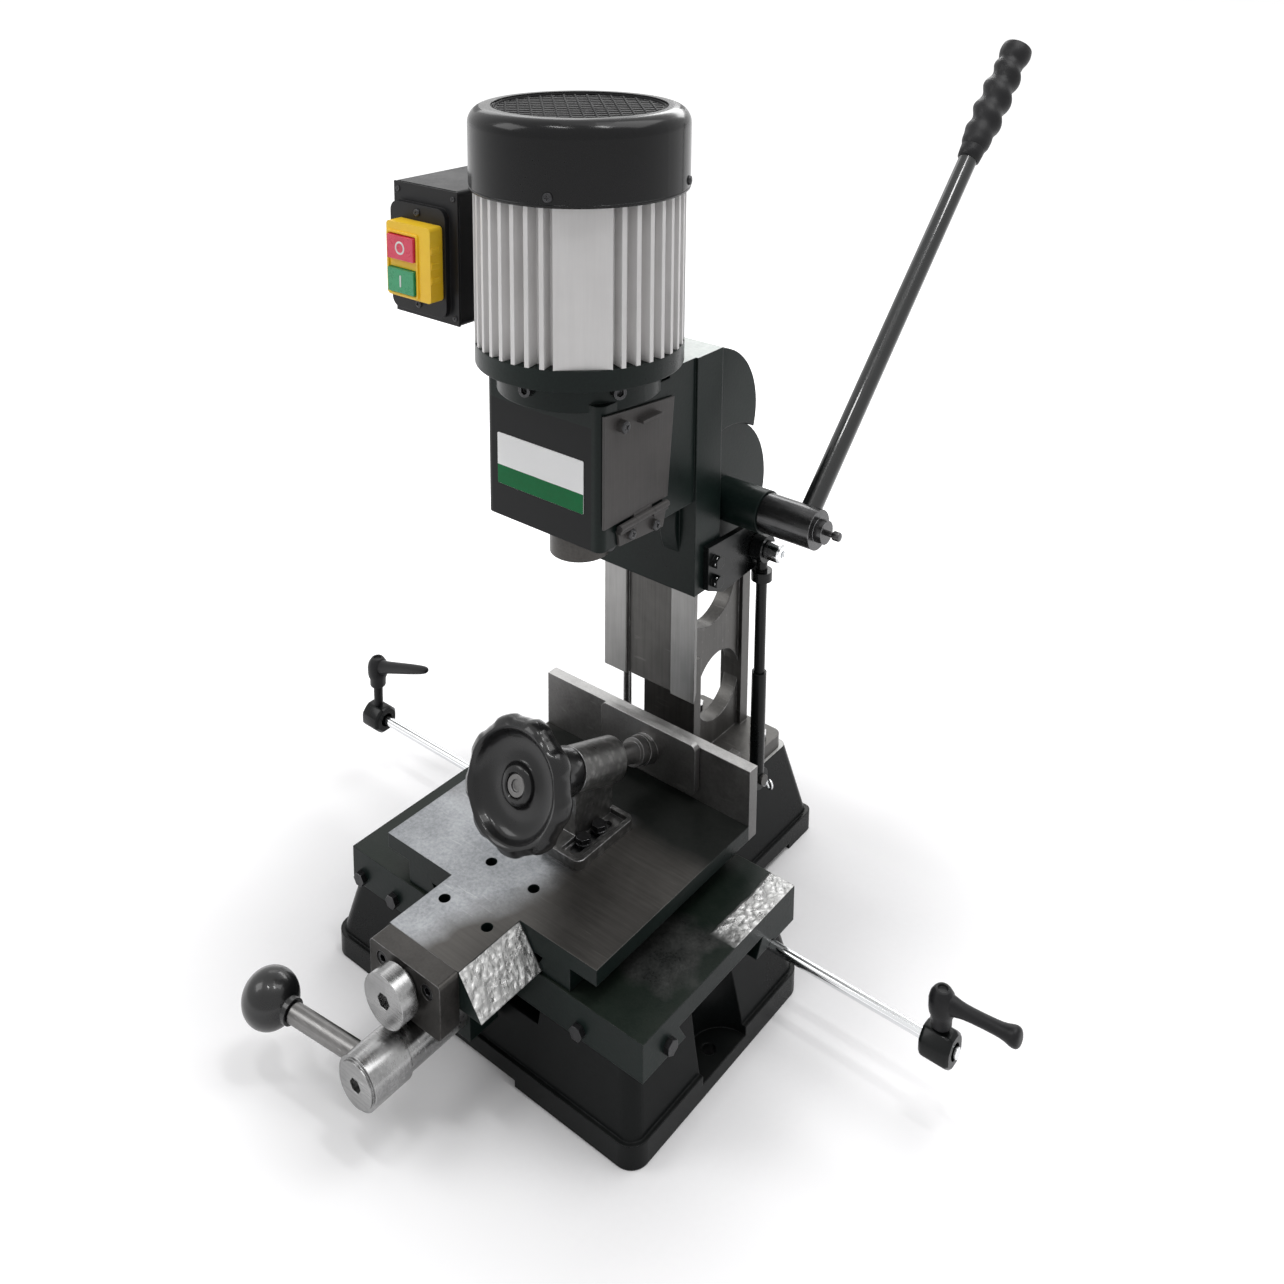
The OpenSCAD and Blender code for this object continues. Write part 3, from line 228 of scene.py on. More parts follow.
class Effects:
    """The surface effects that several finishes share, each a node group made once."""

    def __init__(self) -> None:
        """Makes every group."""
        self.grain = self._grain()
        self.edge = self._edge()
        self.cast = self._cast()
        self.zone = self._zone()
        self.dust = self._dust()

    @staticmethod
    def _grain() -> Tree:
        """Makes blotches, fine grain and sparse scratches, stretched along the tool's way.

        Returns:
            The node group.
        """
        inputs = {"Vector": ZERO, "Stretch": Grain.NONE.value, "Grain Scale": 400.0, "Blotch Scale": 14.0}
        group = Group("Surface grain", inputs, {"Blotch": FLOAT, "Fine": FLOAT, "Scratch": FLOAT})
        given = group.given
        drawn = group.vector("MULTIPLY", given["Vector"], given["Stretch"])
        turned = group.add("ShaderNodeMapping", {"Vector": given["Vector"], "Rotation": (0.3, 0.5, 0.9),
                                                 "Scale": (1.0, 18.0, 6.0)}).outputs[0]
        blotch = group.noise(given["Vector"], given["Blotch Scale"], 4.0, 0.62)
        fine = group.noise(drawn, given["Grain Scale"], 3.0, 0.6)
        scratch = group.noise(turned, 38.0, 2.0)
        return group.close(Blotch=group.ramp(blotch, 0.34, 0.66), Fine=group.ramp(fine, 0.3, 0.7),
                           Scratch=group.ramp(scratch, 0.66, 0.74))

    @staticmethod
    def _edge() -> Tree:
        """Makes the rounded normal of an edge, and the mask of where its paint is rubbed.

        Returns:
            The node group.
        """
        group = Group("Edge wear", {"Vector": ZERO, "Radius": 0.001, "Amount": 0.5},
                      {"Mask": FLOAT, "Normal": VECTOR})
        bevel = group.add("ShaderNodeBevel", {"Radius": group.given["Radius"]}, samples=6).outputs[0]
        flat = group.add("ShaderNodeNewGeometry").outputs["Normal"]
        facing = group.vector("DOT_PRODUCT", bevel, flat)
        turn = group.ramp(group.maths("SUBTRACT", 1.0, facing), 0.015, 0.16)
        noise = group.noise(group.given["Vector"], 120.0, 5.0, 0.65)
        broken = group.maths("MULTIPLY", turn, group.ramp(noise, 0.4, 0.62))
        mask = group.maths("MULTIPLY", broken, group.given["Amount"], clamp=True)
        return group.close(Mask=mask, Normal=bevel)

    @staticmethod
    def _cast() -> Tree:
        """Makes the lumps and pits of a surface left as it came out of the sand.

        Returns:
            The node group.
        """
        group = Group("Cast skin", {"Vector": ZERO, "Scale": 180.0}, {"Height": FLOAT, "Facet": FLOAT})
        place, scale = group.given["Vector"], group.given["Scale"]
        cells = group.add("ShaderNodeTexVoronoi", {"Vector": place, "Scale": scale, "Smoothness": 0.4},
                          feature="SMOOTH_F1")
        lumps = group.maths("MULTIPLY", cells.outputs["Distance"], 0.8)
        height = group.maths("ADD", lumps, group.noise(place, scale, 5.0, 0.7))
        return group.close(Height=height, Facet=group.ramp(height, 0.55, 1.0))

    @staticmethod
    def _zone() -> Tree:
        """Makes the mask of the faces that look one way inside a box, as where a casting has been planed; it
        also gives the masks of the painted shadow, the painted reflection and the painted light on the table
        and the head's top.

        Returns:
            The node group.
        """
        inputs = {"Vector": ZERO, "Centre": ZERO, "Half": (1.0, 1.0, 1.0), "Facing": (0.0, 0.0, 1.0),
                  "Soft": 0.02, "Breakup": 60.0}
        group = Group("Zone", inputs, {"Mask": FLOAT})
        given = group.given
        off = group.vector("SUBTRACT", given["Vector"], given["Centre"])
        share = group.vector("ABSOLUTE", group.vector("DIVIDE", off, given["Half"]))
        parts = group.add("ShaderNodeSeparateXYZ", {0: share}).outputs
        most = group.maths("MAXIMUM", group.maths("MAXIMUM", parts[0], parts[1]), parts[2])
        noise = group.maths("SUBTRACT", group.noise(given["Vector"], given["Breakup"], 3.0), 0.5)
        rough = group.maths("MULTIPLY", group.maths("MULTIPLY", noise, given["Soft"]), 4.0)
        border = group.maths("ADD", most, rough)
        inside = group.ramp(border, 1.0, group.maths("ADD", 1.0, given["Soft"]), (1.0, 0.0))
        normal = group.add("ShaderNodeNewGeometry").outputs["Normal"]
        facing = group.ramp(group.vector("DOT_PRODUCT", normal, given["Facing"]), 0.72, 0.86)
        return group.close(Mask=group.maths("MULTIPLY", inside, facing))

    @staticmethod
    def _dust() -> Tree:
        """Makes the mask of the fine dust that settles on faces that look up.

        Returns:
            The node group.
        """
        group = Group("Settled dust", {"Vector": ZERO, "Amount": 0.2}, {"Mask": FLOAT})
        normal = group.add("ShaderNodeNewGeometry").outputs["Normal"]
        level = group.ramp(group.add("ShaderNodeSeparateXYZ", {0: normal}).outputs["Z"], 0.5, 1.0)
        patches = group.ramp(group.noise(group.given["Vector"], 22.0, 6.0, 0.7), 0.35, 0.75)
        both = group.maths("MULTIPLY", level, patches)
        return group.close(Mask=group.maths("MULTIPLY", both, group.given["Amount"]))


@dataclass(frozen=True)
class Skin:
    """One surface: two colours that it varies between, its gloss and its relief."""

    colour: Colour
    tint: Colour
    metallic: float = 0.0
    roughness: float = 0.4
    spread: float = 0.12
    grain_scale: float = 420.0
    blotch_scale: float = 14.0
    relief: float = 0.00002
    lumps: float = 0.0
    lump_scale: float = 180.0
    hollow: float = 0.75
    scratch: float = 0.0
    grain: Grain = Grain.NONE

    def plain(self, height: object) -> list:
        """The skin as a layer without variation, over the height of what lies below it."""
        return [self.colour, self.metallic, self.roughness, height]

    def layer(self, graph: Graph, effects: Effects, place: Socket) -> list:
        """Makes the skin's nodes.

        Args:
            graph: The material's graph.
            effects: The shared groups.
            place: The socket of the coordinates.

        Returns:
            Its colour, metallic, roughness and height, as sockets or numbers.
        """
        inputs = {"Vector": place, "Stretch": self.grain.value, "Grain Scale": self.grain_scale,
                  "Blotch Scale": self.blotch_scale}
        grain = graph.group(effects.grain, inputs)
        mixed = graph.maths("ADD", graph.maths("MULTIPLY", grain["Blotch"], BLOTCH_SHARE),
                            graph.maths("MULTIPLY", grain["Fine"], 1.0 - BLOTCH_SHARE))
        colour = graph.blend(mixed, self.colour, self.tint)
        low = max(LOWEST_ROUGHNESS, self.roughness - self.spread)
        rough = graph.ramp(mixed, 0.0, 1.0, (low, min(1.0, self.roughness + self.spread)))
        height = graph.maths("MULTIPLY", grain["Fine"], self.relief)
        if self.scratch:
            line = graph.maths("MULTIPLY", grain["Scratch"], self.scratch)
            bright = tuple(min(1.0, c * SCRATCH_GAIN + SCRATCH_LIFT) for c in self.tint)
            colour = graph.blend(line, colour, bright)
            height = graph.maths("SUBTRACT", height, graph.maths("MULTIPLY", line, SCRATCH_DEPTH))
        if self.lumps:
            cast = graph.group(effects.cast, {"Vector": place, "Scale": self.lump_scale})
            height = graph.maths("ADD", height, graph.maths("MULTIPLY", cast["Height"], self.lumps))
            colour = graph.blend(cast["Facet"], colour, tuple(c * self.hollow for c in self.colour))
        return [colour, self.metallic, rough, height]


@dataclass(frozen=True)
class Zone:
    """A box, in millimetres from the chisel's axis, in which faces that look one way have another skin."""

    low: Point
    high: Point
    skin: Skin
    facing: Point = (0.0, 0.0, 1.0)
    soft: float = 0.01
    breakup: float = 60.0

    def mask(self, graph: Graph, effects: Effects, place: Socket) -> Socket:
        """Makes the nodes that find the zone.

        Args:
            graph: The material's graph.
            effects: The shared groups.
            place: The socket of the coordinates.

        Returns:
            The socket that is 1 inside the zone.
        """
        low, high = at(*self.low), at(*self.high)
        inputs = {"Vector": place, "Centre": (low + high) / 2, "Half": (high - low) / 2,
                  "Facing": Vector(self.facing).normalized(), "Soft": self.soft, "Breakup": self.breakup}
        return graph.group(effects.zone, inputs)["Mask"]


SETTLED_DUST = Skin((0.42, 0.39, 0.34), (0.42, 0.39, 0.34), 0.0, 0.9)


@dataclass(frozen=True)
class Finish:
    """A material: a skin, what shows where its edges are rubbed, and zones with other skins."""

    name: str
    skin: Skin
    worn: Skin
    wear: float = 0.5
    radius: float = 0.0009
    specular: float = 0.5
    coat: float = 0.0
    coat_roughness: float = 0.1
    dust: float = 0.0
    zones: tuple[Zone, ...] = ()

    def material(self, effects: Effects) -> bpy.types.Material:
        """Makes the material.

        Args:
            effects: The shared groups.

        Returns:
            The finished material.
        """
        made = bpy.data.materials.new(self.name)
        made.use_nodes = True
        graph = Graph(made.node_tree)
        place = graph.add("ShaderNodeTexCoord").outputs["Object"]
        layer = self.skin.layer(graph, effects, place)
        for zone in self.zones:
            mask = zone.mask(graph, effects, place)
            layer = self._over(graph, mask, layer, zone.skin.layer(graph, effects, place))
        edge = graph.group(effects.edge, {"Vector": place, "Radius": self.radius, "Amount": self.wear})
        layer = self._over(graph, edge["Mask"], layer, self.worn.plain(layer[3]))
        if self.dust:
            dust = graph.group(effects.dust, {"Vector": place, "Amount": self.dust})
            layer = self._over(graph, dust["Mask"], layer, SETTLED_DUST.plain(layer[3]))
        bump = graph.add("ShaderNodeBump", {"Strength": 1.0, "Distance": 1.0, "Height": layer[3],
                                            "Normal": edge["Normal"]})
        shader = graph.add("ShaderNodeBsdfPrincipled", {
            "Base Color": layer[0], "Metallic": layer[1], "Roughness": layer[2], "Normal": bump.outputs[0],
            "Specular IOR Level": self.specular, "Coat Weight": self.coat,
            "Coat Roughness": self.coat_roughness})
        graph.add("ShaderNodeOutputMaterial", {"Surface": shader.outputs[0]})
        return made

    @staticmethod
    def _over(graph: Graph, mask: Socket, under: list, over: list) -> list:
        """Lays one layer over another where the mask is 1, and gives the joined layer."""
        numbers = [graph.mix(mask, a, b) for a, b in zip(under[1:], over[1:])]
        return [graph.blend(mask, under[0], over[0]), *numbers]


TO_FRONT = (0.0, -1.0, 0.0)

BARE = Skin((0.42, 0.42, 0.43), (0.5, 0.5, 0.51), 1.0, 0.34, 0.06)
RUBBED = Skin((0.07, 0.075, 0.075), (0.085, 0.09, 0.09), 0.3, 0.4)
UMBER_GROUND = Skin((0.055, 0.052, 0.049), (0.105, 0.1, 0.094), 0.75, 0.42, 0.08, 460.0, 11.0, 0.000012,
                    scratch=0.12, grain=Grain.ALONG_X)
# Ground steel with grain and scratches, laid paler as a painted reflection on the table's front-left top.
GROUND_PAINTED_REFLECTION = Skin((0.14, 0.148, 0.158), (0.46, 0.472, 0.49), 0.7, 0.4, 0.1, 420.0, 12.0, 0.000012,
                   scratch=0.12)
PLANED = Skin((0.46, 0.46, 0.45), (0.62, 0.62, 0.61), 0.35, 0.5, 0.12, 420.0, 16.0, 0.00002, scratch=0.3,
              grain=Grain.ALONG_X)
ROUGH_CAST = Skin((0.5, 0.5, 0.495), (0.9, 0.9, 0.89), 0.9, 0.32, 0.14, 380.0, 90.0, 0.0002, 0.0012,
                  210.0, 0.8)
SCUFFED = Skin((0.02, 0.022, 0.021), (0.06, 0.062, 0.06), 0.4, 0.36, 0.14, 420.0, 60.0, 0.0001)
# A painted shadow: a darker skin on the table top at the foot of the fence.
FENCE_PAINTED_SHADOW = Skin((0.012, 0.014, 0.013), (0.024, 0.026, 0.024), 0.5, 0.4, 0.1)
ENAMEL = Skin((0.003, 0.0034, 0.0036), (0.006, 0.0072, 0.0072), 0.0, 0.3, 0.07, 520.0, 11.0, 0.00001)
GREEN_BLACK = Skin((0.0032, 0.006, 0.0055), (0.0075, 0.0145, 0.0125), 0.0, 0.34, 0.09, 420.0, 9.0, 0.00003)
SADDLE_TOP = Skin((0.0028, 0.0075, 0.0055), (0.011, 0.017, 0.0125), 0.0, 0.4, 0.1, 700.0, 18.0, 0.00004)
LABEL_FIELD = Skin((0.003, 0.0034, 0.0038), (0.005, 0.0056, 0.0062), 0.0, 0.4, 0.05, 900.0, 16.0, 0.000004)
DARK_IRON = Skin((0.055, 0.053, 0.051), (0.12, 0.117, 0.112), 0.8, 0.4, 0.12, 380.0, 14.0, 0.00002,
                 scratch=0.2, grain=Grain.UPRIGHT)
BRIGHT_WAY = Skin((0.2, 0.2, 0.195), (0.34, 0.335, 0.33), 0.8, 0.36, 0.1, 420.0, 12.0, 0.00002,
                  grain=Grain.UPRIGHT)
# A paler skin laid on the fence's upward-facing top edge.
PALER_TOP_EDGE = Skin((0.4, 0.396, 0.39), (0.62, 0.615, 0.605), 0.6, 0.46, 0.1, 700.0, 60.0, 0.00004)
# Painted light: a near-white skin that makes the head's upward-facing top look brightly lit.
HEAD_TOP_PAINTED_LIGHT = Skin((0.62, 0.66, 0.64), (0.84, 0.87, 0.85), 0.1, 0.55, 0.1, 420.0, 40.0, 0.00006)
GRILLE = Skin((0.006, 0.006, 0.0065), (0.013, 0.013, 0.014), 0.0, 0.6, 0.08, 700.0, 30.0, 0.00001)
BLACK_MOULDED = Skin((0.005, 0.005, 0.0055), (0.01, 0.01, 0.0105), 0.0, 0.3, 0.07, 900.0, 26.0, 0.000006)
WORN_MOULDED = Skin((0.04, 0.04, 0.042), (0.05, 0.05, 0.05), 0.0, 0.45)
GREEN_BAND = Skin((0.0, 0.115, 0.03), (0.0, 0.145, 0.042), 0.0, 0.34, 0.05)

BLACK_ENAMEL = Finish("base_enamel", ENAMEL, RUBBED, 0.3, 0.0014, 0.1, 0.04, 0.14, 0.012, (
    Zone((-70, 90, 82), (70, 260, 86), PLANED),))
HEAD_ENAMEL = Finish("head_enamel", GREEN_BLACK, RUBBED, 0.3, 0.0012, 0.12, 0.04, 0.2, 0.012, (
    # painted light on the head's top face
    Zone((-60, 20, 478), (60, 110, 486), HEAD_TOP_PAINTED_LIGHT),
    Zone((-53.5, -42, 336), (46, -40, 459), LABEL_FIELD, TO_FRONT)))
SADDLE_ENAMEL = Finish("saddle_enamel", GREEN_BLACK, RUBBED, 0.45, 0.0012, 0.13, 0.05, 0.2, 0.02, (
    Zone((-160, -120, 84), (160, 80, 94), SADDLE_TOP),
    Zone((130, 0, 85), (164, 120, 98), ROUGH_CAST, soft=0.1, breakup=40.0),
    Zone((92, -62, 85), (136, -12, 98), SCUFFED, soft=0.5, breakup=40.0)))
PAINTED_STEEL = Finish("painted_steel", ENAMEL, RUBBED, 0.4, 0.0006, 0.15, 0.1, 0.14)
LEVER_ENAMEL = Finish("lever_enamel", ENAMEL, RUBBED, 0.4, 0.0006, 0.3, 0.6, 0.06)
DOOR_ENAMEL = Finish(
    "door_enamel", Skin((0.055, 0.052, 0.051), (0.088, 0.083, 0.081), 0.1, 0.5, 0.1, 620.0, 24.0, 0.00004,
                        grain=Grain.UPRIGHT), RUBBED, 0.5, 0.0006, 0.2, 0.0, 0.3, 0.02)
SILVER_PAINT = Finish(
    "silver_paint", Skin((0.66, 0.65, 0.645), (0.78, 0.77, 0.765), 0.1, 0.42, 0.08, 300.0, 12.0, 0.00001,
                         grain=Grain.UPRIGHT), BARE, 0.3, 0.0005, 0.4)
TABLE_IRON = Finish("table_iron", GREEN_BLACK, RUBBED, 0.6, 0.001, 0.14, 0.04, 0.2, 0.0, (
    Zone((-110, -190, 118), (120, 90, 122), UMBER_GROUND),
    # painted reflection: the table's front-left top is laid paler
    Zone((-150, -240, 118), (-4, -22, 122), GROUND_PAINTED_REFLECTION, soft=0.5, breakup=11.0),
    # painted shadow at the foot of the fence
    Zone((-60, 26, 118), (112, 100, 122), FENCE_PAINTED_SHADOW, soft=0.5, breakup=9.0),
    Zone((34, -170, 90), (66, -108, 119.5), ROUGH_CAST, (0.75, 0.0, 0.55), 0.02)))
COLUMN_IRON = Finish("column_iron", DARK_IRON, BARE, 0.4, 0.0011, 0.45, dust=0.02, zones=(
    Zone((-50, 78, 188), (-24, 100, 390), BRIGHT_WAY, TO_FRONT, 0.02),
    Zone((22, 78, 188), (50, 100, 390), BRIGHT_WAY, TO_FRONT, 0.02)))
DARK_STEEL = Finish(
    "dark_steel", Skin((0.1, 0.097, 0.095), (0.18, 0.177, 0.174), 0.8, 0.38, 0.09, 520.0, 22.0, 0.00002,
                       scratch=0.15), BARE, 0.6, 0.0009, zones=(
        Zone((-120, 60, 158), (120, 96, 182), PALER_TOP_EDGE),))
GREY_CAST = Finish(
    "grey_cast", Skin((0.12, 0.119, 0.116), (0.26, 0.257, 0.252), 0.8, 0.36, 0.1, 420.0, 32.0, 0.00003,
                      0.0001, 200.0, 0.9), BARE, 0.8, 0.0013)
GREY_STEEL = Finish(
    "grey_steel", Skin((0.1, 0.098, 0.096), (0.24, 0.236, 0.232), 0.9, 0.34, 0.1, 600.0, 26.0, 0.000012,
                       scratch=0.2, grain=Grain.ALONG_X), BARE, 0.4, 0.0008)
UMBER_IRON = Finish(
    "umber_iron", Skin((0.028, 0.026, 0.024), (0.07, 0.066, 0.062), 0.7, 0.4, 0.1, 520.0, 26.0, 0.00002),
    BARE, 0.5, 0.0009)
TURNED_STEEL = Finish(
    "turned_steel", Skin((0.2, 0.2, 0.2), (0.42, 0.42, 0.42), 1.0, 0.27, 0.08, 600.0, 26.0, 0.000012,
                         scratch=0.2, grain=Grain.ALONG_X), BARE, 0.4, 0.0008)
POLISHED_DARK = Finish(
    "polished_dark", Skin((0.035, 0.035, 0.036), (0.095, 0.095, 0.096), 0.9, 0.24, 0.07, 700.0, 30.0,
                          0.000012, grain=Grain.ALONG_X), BARE, 0.6, 0.0008)
CHROME = Finish(
    "bright_chrome", Skin((0.74, 0.75, 0.76), (0.8, 0.81, 0.82), 1.0, 0.12, 0.04, 500.0, 18.0, 0.000004,
                          grain=Grain.ALONG_X), BARE, 0.2, 0.0006)
BLACK_STEEL = Finish(
    "blackened_steel", Skin((0.028, 0.028, 0.03), (0.055, 0.055, 0.057), 0.85, 0.32, 0.08, 600.0, 60.0,
                            0.00001), BARE, 0.5, 0.0005)
BRONZE = Finish(
    "nut_bronze", Skin((0.42, 0.27, 0.11), (0.55, 0.38, 0.17), 1.0, 0.36, 0.08), BARE, 0.2, 0.0006)
GLOSS_MOULDED = Finish("gloss_moulded", BLACK_MOULDED, WORN_MOULDED, 0.25, 0.0009, 0.3, 0.35, 0.07, 0.006)
WHEEL_RIM = Finish("wheel_rim", BLACK_MOULDED, WORN_MOULDED, 0.3, 0.0009, 0.2, 0.3, 0.08, 0.01)
COVER_ENAMEL = Finish(
    "cover_enamel", Skin((0.0035, 0.0036, 0.004), (0.0075, 0.0076, 0.0082), 0.0, 0.22, 0.05, 420.0, 10.0,
                         0.000008), RUBBED, 0.12, 0.0012, 0.14, 0.14, 0.07, 0.015, (
        Zone((-62, -62, 668), (62, 62, 672.3), GRILLE),))
GRILLE_ENAMEL = Finish("grille_enamel", GRILLE, RUBBED, 0.1, 0.0006, 0.08)
SATIN_MOULDED = Finish(
    "satin_moulded", Skin((0.008, 0.008, 0.009), (0.015, 0.015, 0.016), 0.0, 0.42, 0.09, 900.0, 30.0,
                          0.00003), Skin((0.05, 0.05, 0.05), (0.06, 0.06, 0.06), 0.0, 0.55), 0.3, 0.0008, 0.2)
YELLOW_MOULDED = Finish(
    "yellow_moulded", Skin((0.94, 0.56, 0.016), (0.97, 0.64, 0.03), 0.0, 0.34, 0.07, 900.0, 40.0, 0.00001),
    Skin((0.93, 0.62, 0.12), (0.95, 0.66, 0.15), 0.0, 0.4), 0.5, 0.0007, 0.45)
RED_MOULDED = Finish(
    "red_moulded", Skin((0.68, 0.025, 0.075), (0.78, 0.055, 0.12), 0.0, 0.28, 0.06, 900.0, 60.0, 0.00001),
    Skin((0.8, 0.24, 0.28), (0.85, 0.3, 0.33), 0.0, 0.4), 0.6, 0.0008)
GREEN_MOULDED = Finish(
    "green_moulded", Skin((0.012, 0.29, 0.11), (0.03, 0.38, 0.16), 0.0, 0.3, 0.06, 900.0, 60.0, 0.00001),
    Skin((0.16, 0.5, 0.3), (0.2, 0.56, 0.36), 0.0, 0.4), 0.6, 0.0008)
WHITE_MARK = Finish(
    "white_mark", Skin((0.78, 0.78, 0.77), (0.85, 0.85, 0.84), 0.0, 0.4, 0.05, 900.0, 80.0, 0.000005),
    Skin((0.7, 0.7, 0.69), (0.7, 0.7, 0.7), 0.0, 0.5), 0.2, 0.0003)
BARE_PLATE = Finish(
    "bare_plate", Skin((0.92, 0.925, 0.925), (0.95, 0.955, 0.955), 0.0, 0.34, 0.05, 500.0, 20.0, 0.000004),
    Skin((0.6, 0.61, 0.61), (0.65, 0.65, 0.65), 0.2, 0.4), 0.3, 0.0003, 0.12, zones=(
        Zone((-60, -45, 380), (60, -40, 409.5), GREEN_BAND, TO_FRONT),))

NODE_FINISHES: dict[Finish, tuple[str, ...]] = {
    BLACK_ENAMEL: ("base_casting",),
    HEAD_ENAMEL: ("head_casting", "rear_cover", "motor_end_shield"),
    SADDLE_ENAMEL: ("saddle",),
    PAINTED_STEEL: ("strut_cylinder", "strut_bracket", "strut_rod", "stop_collar_left", "stop_collar_right",
                    "depth_stop_collar"),
    DOOR_ENAMEL: ("access_door", "door_strip"),
    SILVER_PAINT: ("motor_stator",),
    TABLE_IRON: ("table",),
    COLUMN_IRON: ("column",),
    DARK_STEEL: ("fence", "clamp_jaw", "clamp_screw", "saddle_gib", "head_gib", "feed_rack", "x_rack"),
    GREY_CAST: ("clamp_bracket",),
    UMBER_IRON: ("front_plate", "chisel_bush"),
    GREY_STEEL: ("x_lever_rod",),
    LEVER_ENAMEL: ("lever_rod",),
    TURNED_STEEL: ("feed_sleeve", "x_pinion_shaft", "x_hub", "cross_screw", "cross_screw_hub", "rotor",
                   "drill_chuck", "depth_stop_rod", "column_bolts"),
    POLISHED_DARK: ("lever_shaft", "lever_hub"),
    CHROME: ("stop_rod",),
    BLACK_STEEL: ("front_plate_screws", "fence_bolts", "clamp_bracket_bolts", "bush_screw",
                  "saddle_gib_screws", "head_gib_screws", "motor_screws"),
    BRONZE: ("cross_nut",),
    GLOSS_MOULDED: ("x_ball_knob",),
    WHEEL_RIM: ("clamp_handwheel",),
    COVER_ENAMEL: ("fan_cover",),
    SATIN_MOULDED: ("lever_grip", "stop_lever_left", "stop_lever_right", "cooling_fan", "switch_box",
                    "switch_plate"),
    YELLOW_MOULDED: ("switch_body",),
    RED_MOULDED: ("off_button",),
    GREEN_MOULDED: ("on_button",),
}


class Paintbox:
    """Makes each material once and puts it on the pieces."""

    def __init__(self) -> None:
        """Starts with the shared effects and no materials."""
        self.effects = Effects()
        self.made: dict[str, bpy.types.Material] = {}

    def material(self, finish: Finish) -> bpy.types.Material:
        """Makes a finish's material when it is first asked for.

        Args:
            finish: The finish.

        Returns:
            Its material.
        """
        if finish.name not in self.made:
            self.made[finish.name] = finish.material(self.effects)
        return self.made[finish.name]

    def dress(self, piece: bpy.types.Object, finish: Finish) -> None:
        """Gives a piece its material in every slot.

        Args:
            piece: The piece.
            finish: Its finish.
        """
        if not piece.data.materials:
            piece.data.materials.append(None)
        for slot in piece.material_slots:
            slot.material = self.material(finish)


class Shape:
    """A mesh that is built up from loops of points, in its own millimetres."""

    def __init__(self, frame: Matrix) -> None:
        """Keeps the frame that the points are given in."""
        self.frame = frame
        self.mesh = bmesh.new()

    def loft(self, rings: Rings, ends: tuple[bool, bool] = (True, True)) -> None:
        """Joins closed loops of equal length by a skin.

        Args:
            rings: The loops, in order.
            ends: Whether the first and the last loop are closed by a face.
        """
        loops = [[self.mesh.verts.new(self.frame @ point) for point in ring] for ring in rings]
        for lower, upper in zip(loops, loops[1:]):
            for i, corner in enumerate(lower):
                j = (i + 1) % len(lower)
                self.mesh.faces.new((corner, lower[j], upper[j], upper[i]))
        if ends[0]:
            self.mesh.faces.new(list(reversed(loops[0])))
        if ends[1]:
            self.mesh.faces.new(loops[-1])

    def turn(self, profile: Profile, count: int, change: Optional[Change] = None, close: bool = True) -> None:
        """Turns a profile about the frame's Z.

        Args:
            profile: Pairs of radius and height.
            count: How many points are in each loop.
            change: Gives a new radius for a radius, a height and an angle.
            close: Whether the two ends are closed by faces.
        """
        rings = []
        for r, w in profile:
            ring = []
            for i in range(count):
                a = math.tau * i / count
                s = change(r, w, a) if change else r
                ring.append(Vector((s * math.cos(a), s * math.sin(a), w)))
            rings.append(ring)
        self.loft(rings, (close, close))

    def finish(self, name: str, sharp: float = 38.0, bevel: float = 0.0, smooth: int = 0) -> bpy.types.Object:
        """Closes the mesh and makes the piece.

        Args:
            name: The piece's name.
            sharp: Edges that turn by more than this, in degrees, stay crisp.
            bevel: The width of the rounding on crisp edges, in millimetres.
            smooth: The levels of subdivision.

        Returns:
            The new object.
        """
        bmesh.ops.remove_doubles(self.mesh, verts=self.mesh.verts, dist=WELD_DISTANCE)
        bmesh.ops.recalc_face_normals(self.mesh, faces=self.mesh.faces)
        data = bpy.data.meshes.new(name)
        self.mesh.to_mesh(data)
        self.mesh.free()
        data.shade_smooth()
        data.set_sharp_from_angle(angle=math.radians(sharp))
        piece = bpy.data.objects.new(name, data)
        bpy.context.scene.collection.objects.link(piece)
        if bevel:
            modifier = piece.modifiers.new("rounding", "BEVEL")
            modifier.width = bevel * MM
            modifier.segments = ROUNDING_STEPS
            modifier.limit_method = "ANGLE"
            modifier.angle_limit = math.radians(sharp)
        if smooth:
            modifier = piece.modifiers.new("smoothing", "SUBSURF")
            modifier.levels = modifier.render_levels = smooth
        return piece


def rounded_outline(width: float, height: float, corner: float, steps: int = 6) -> Profile:
    """The outline of a rectangle with round corners about the origin.

    Args:
        width: The full width.
        height: The full height.
        corner: The radius of the corners.
        steps: How many points each corner has, less one.

    Returns:
        The points, counterclockwise.
    """
    points = []
    for quarter, (sx, sy) in enumerate(((1, 1), (-1, 1), (-1, -1), (1, -1))):
        for i in range(steps + 1):
            a = math.pi / 2 * (quarter + i / steps)
            points.append((sx * (width / 2 - corner) + corner * math.cos(a),
                           sy * (height / 2 - corner) + corner * math.sin(a)))
    return points


def oval_ring(radius: float, height: float, across: float, deep: float, steps: int = 12) -> Profile:
    """The closed profile of a ring with an oval section.

    Args:
        radius: The radius of the section's middle.
        height: The height of the section's middle.
        across: Half the section's width.
        deep: Half the section's height.
        steps: How many points the section has.

    Returns:
        Pairs of radius and height.
    """
    angles = (math.tau * i / steps for i in range(steps + 1))
    return [(radius + across * math.cos(t), height + deep * math.sin(t)) for t in angles]


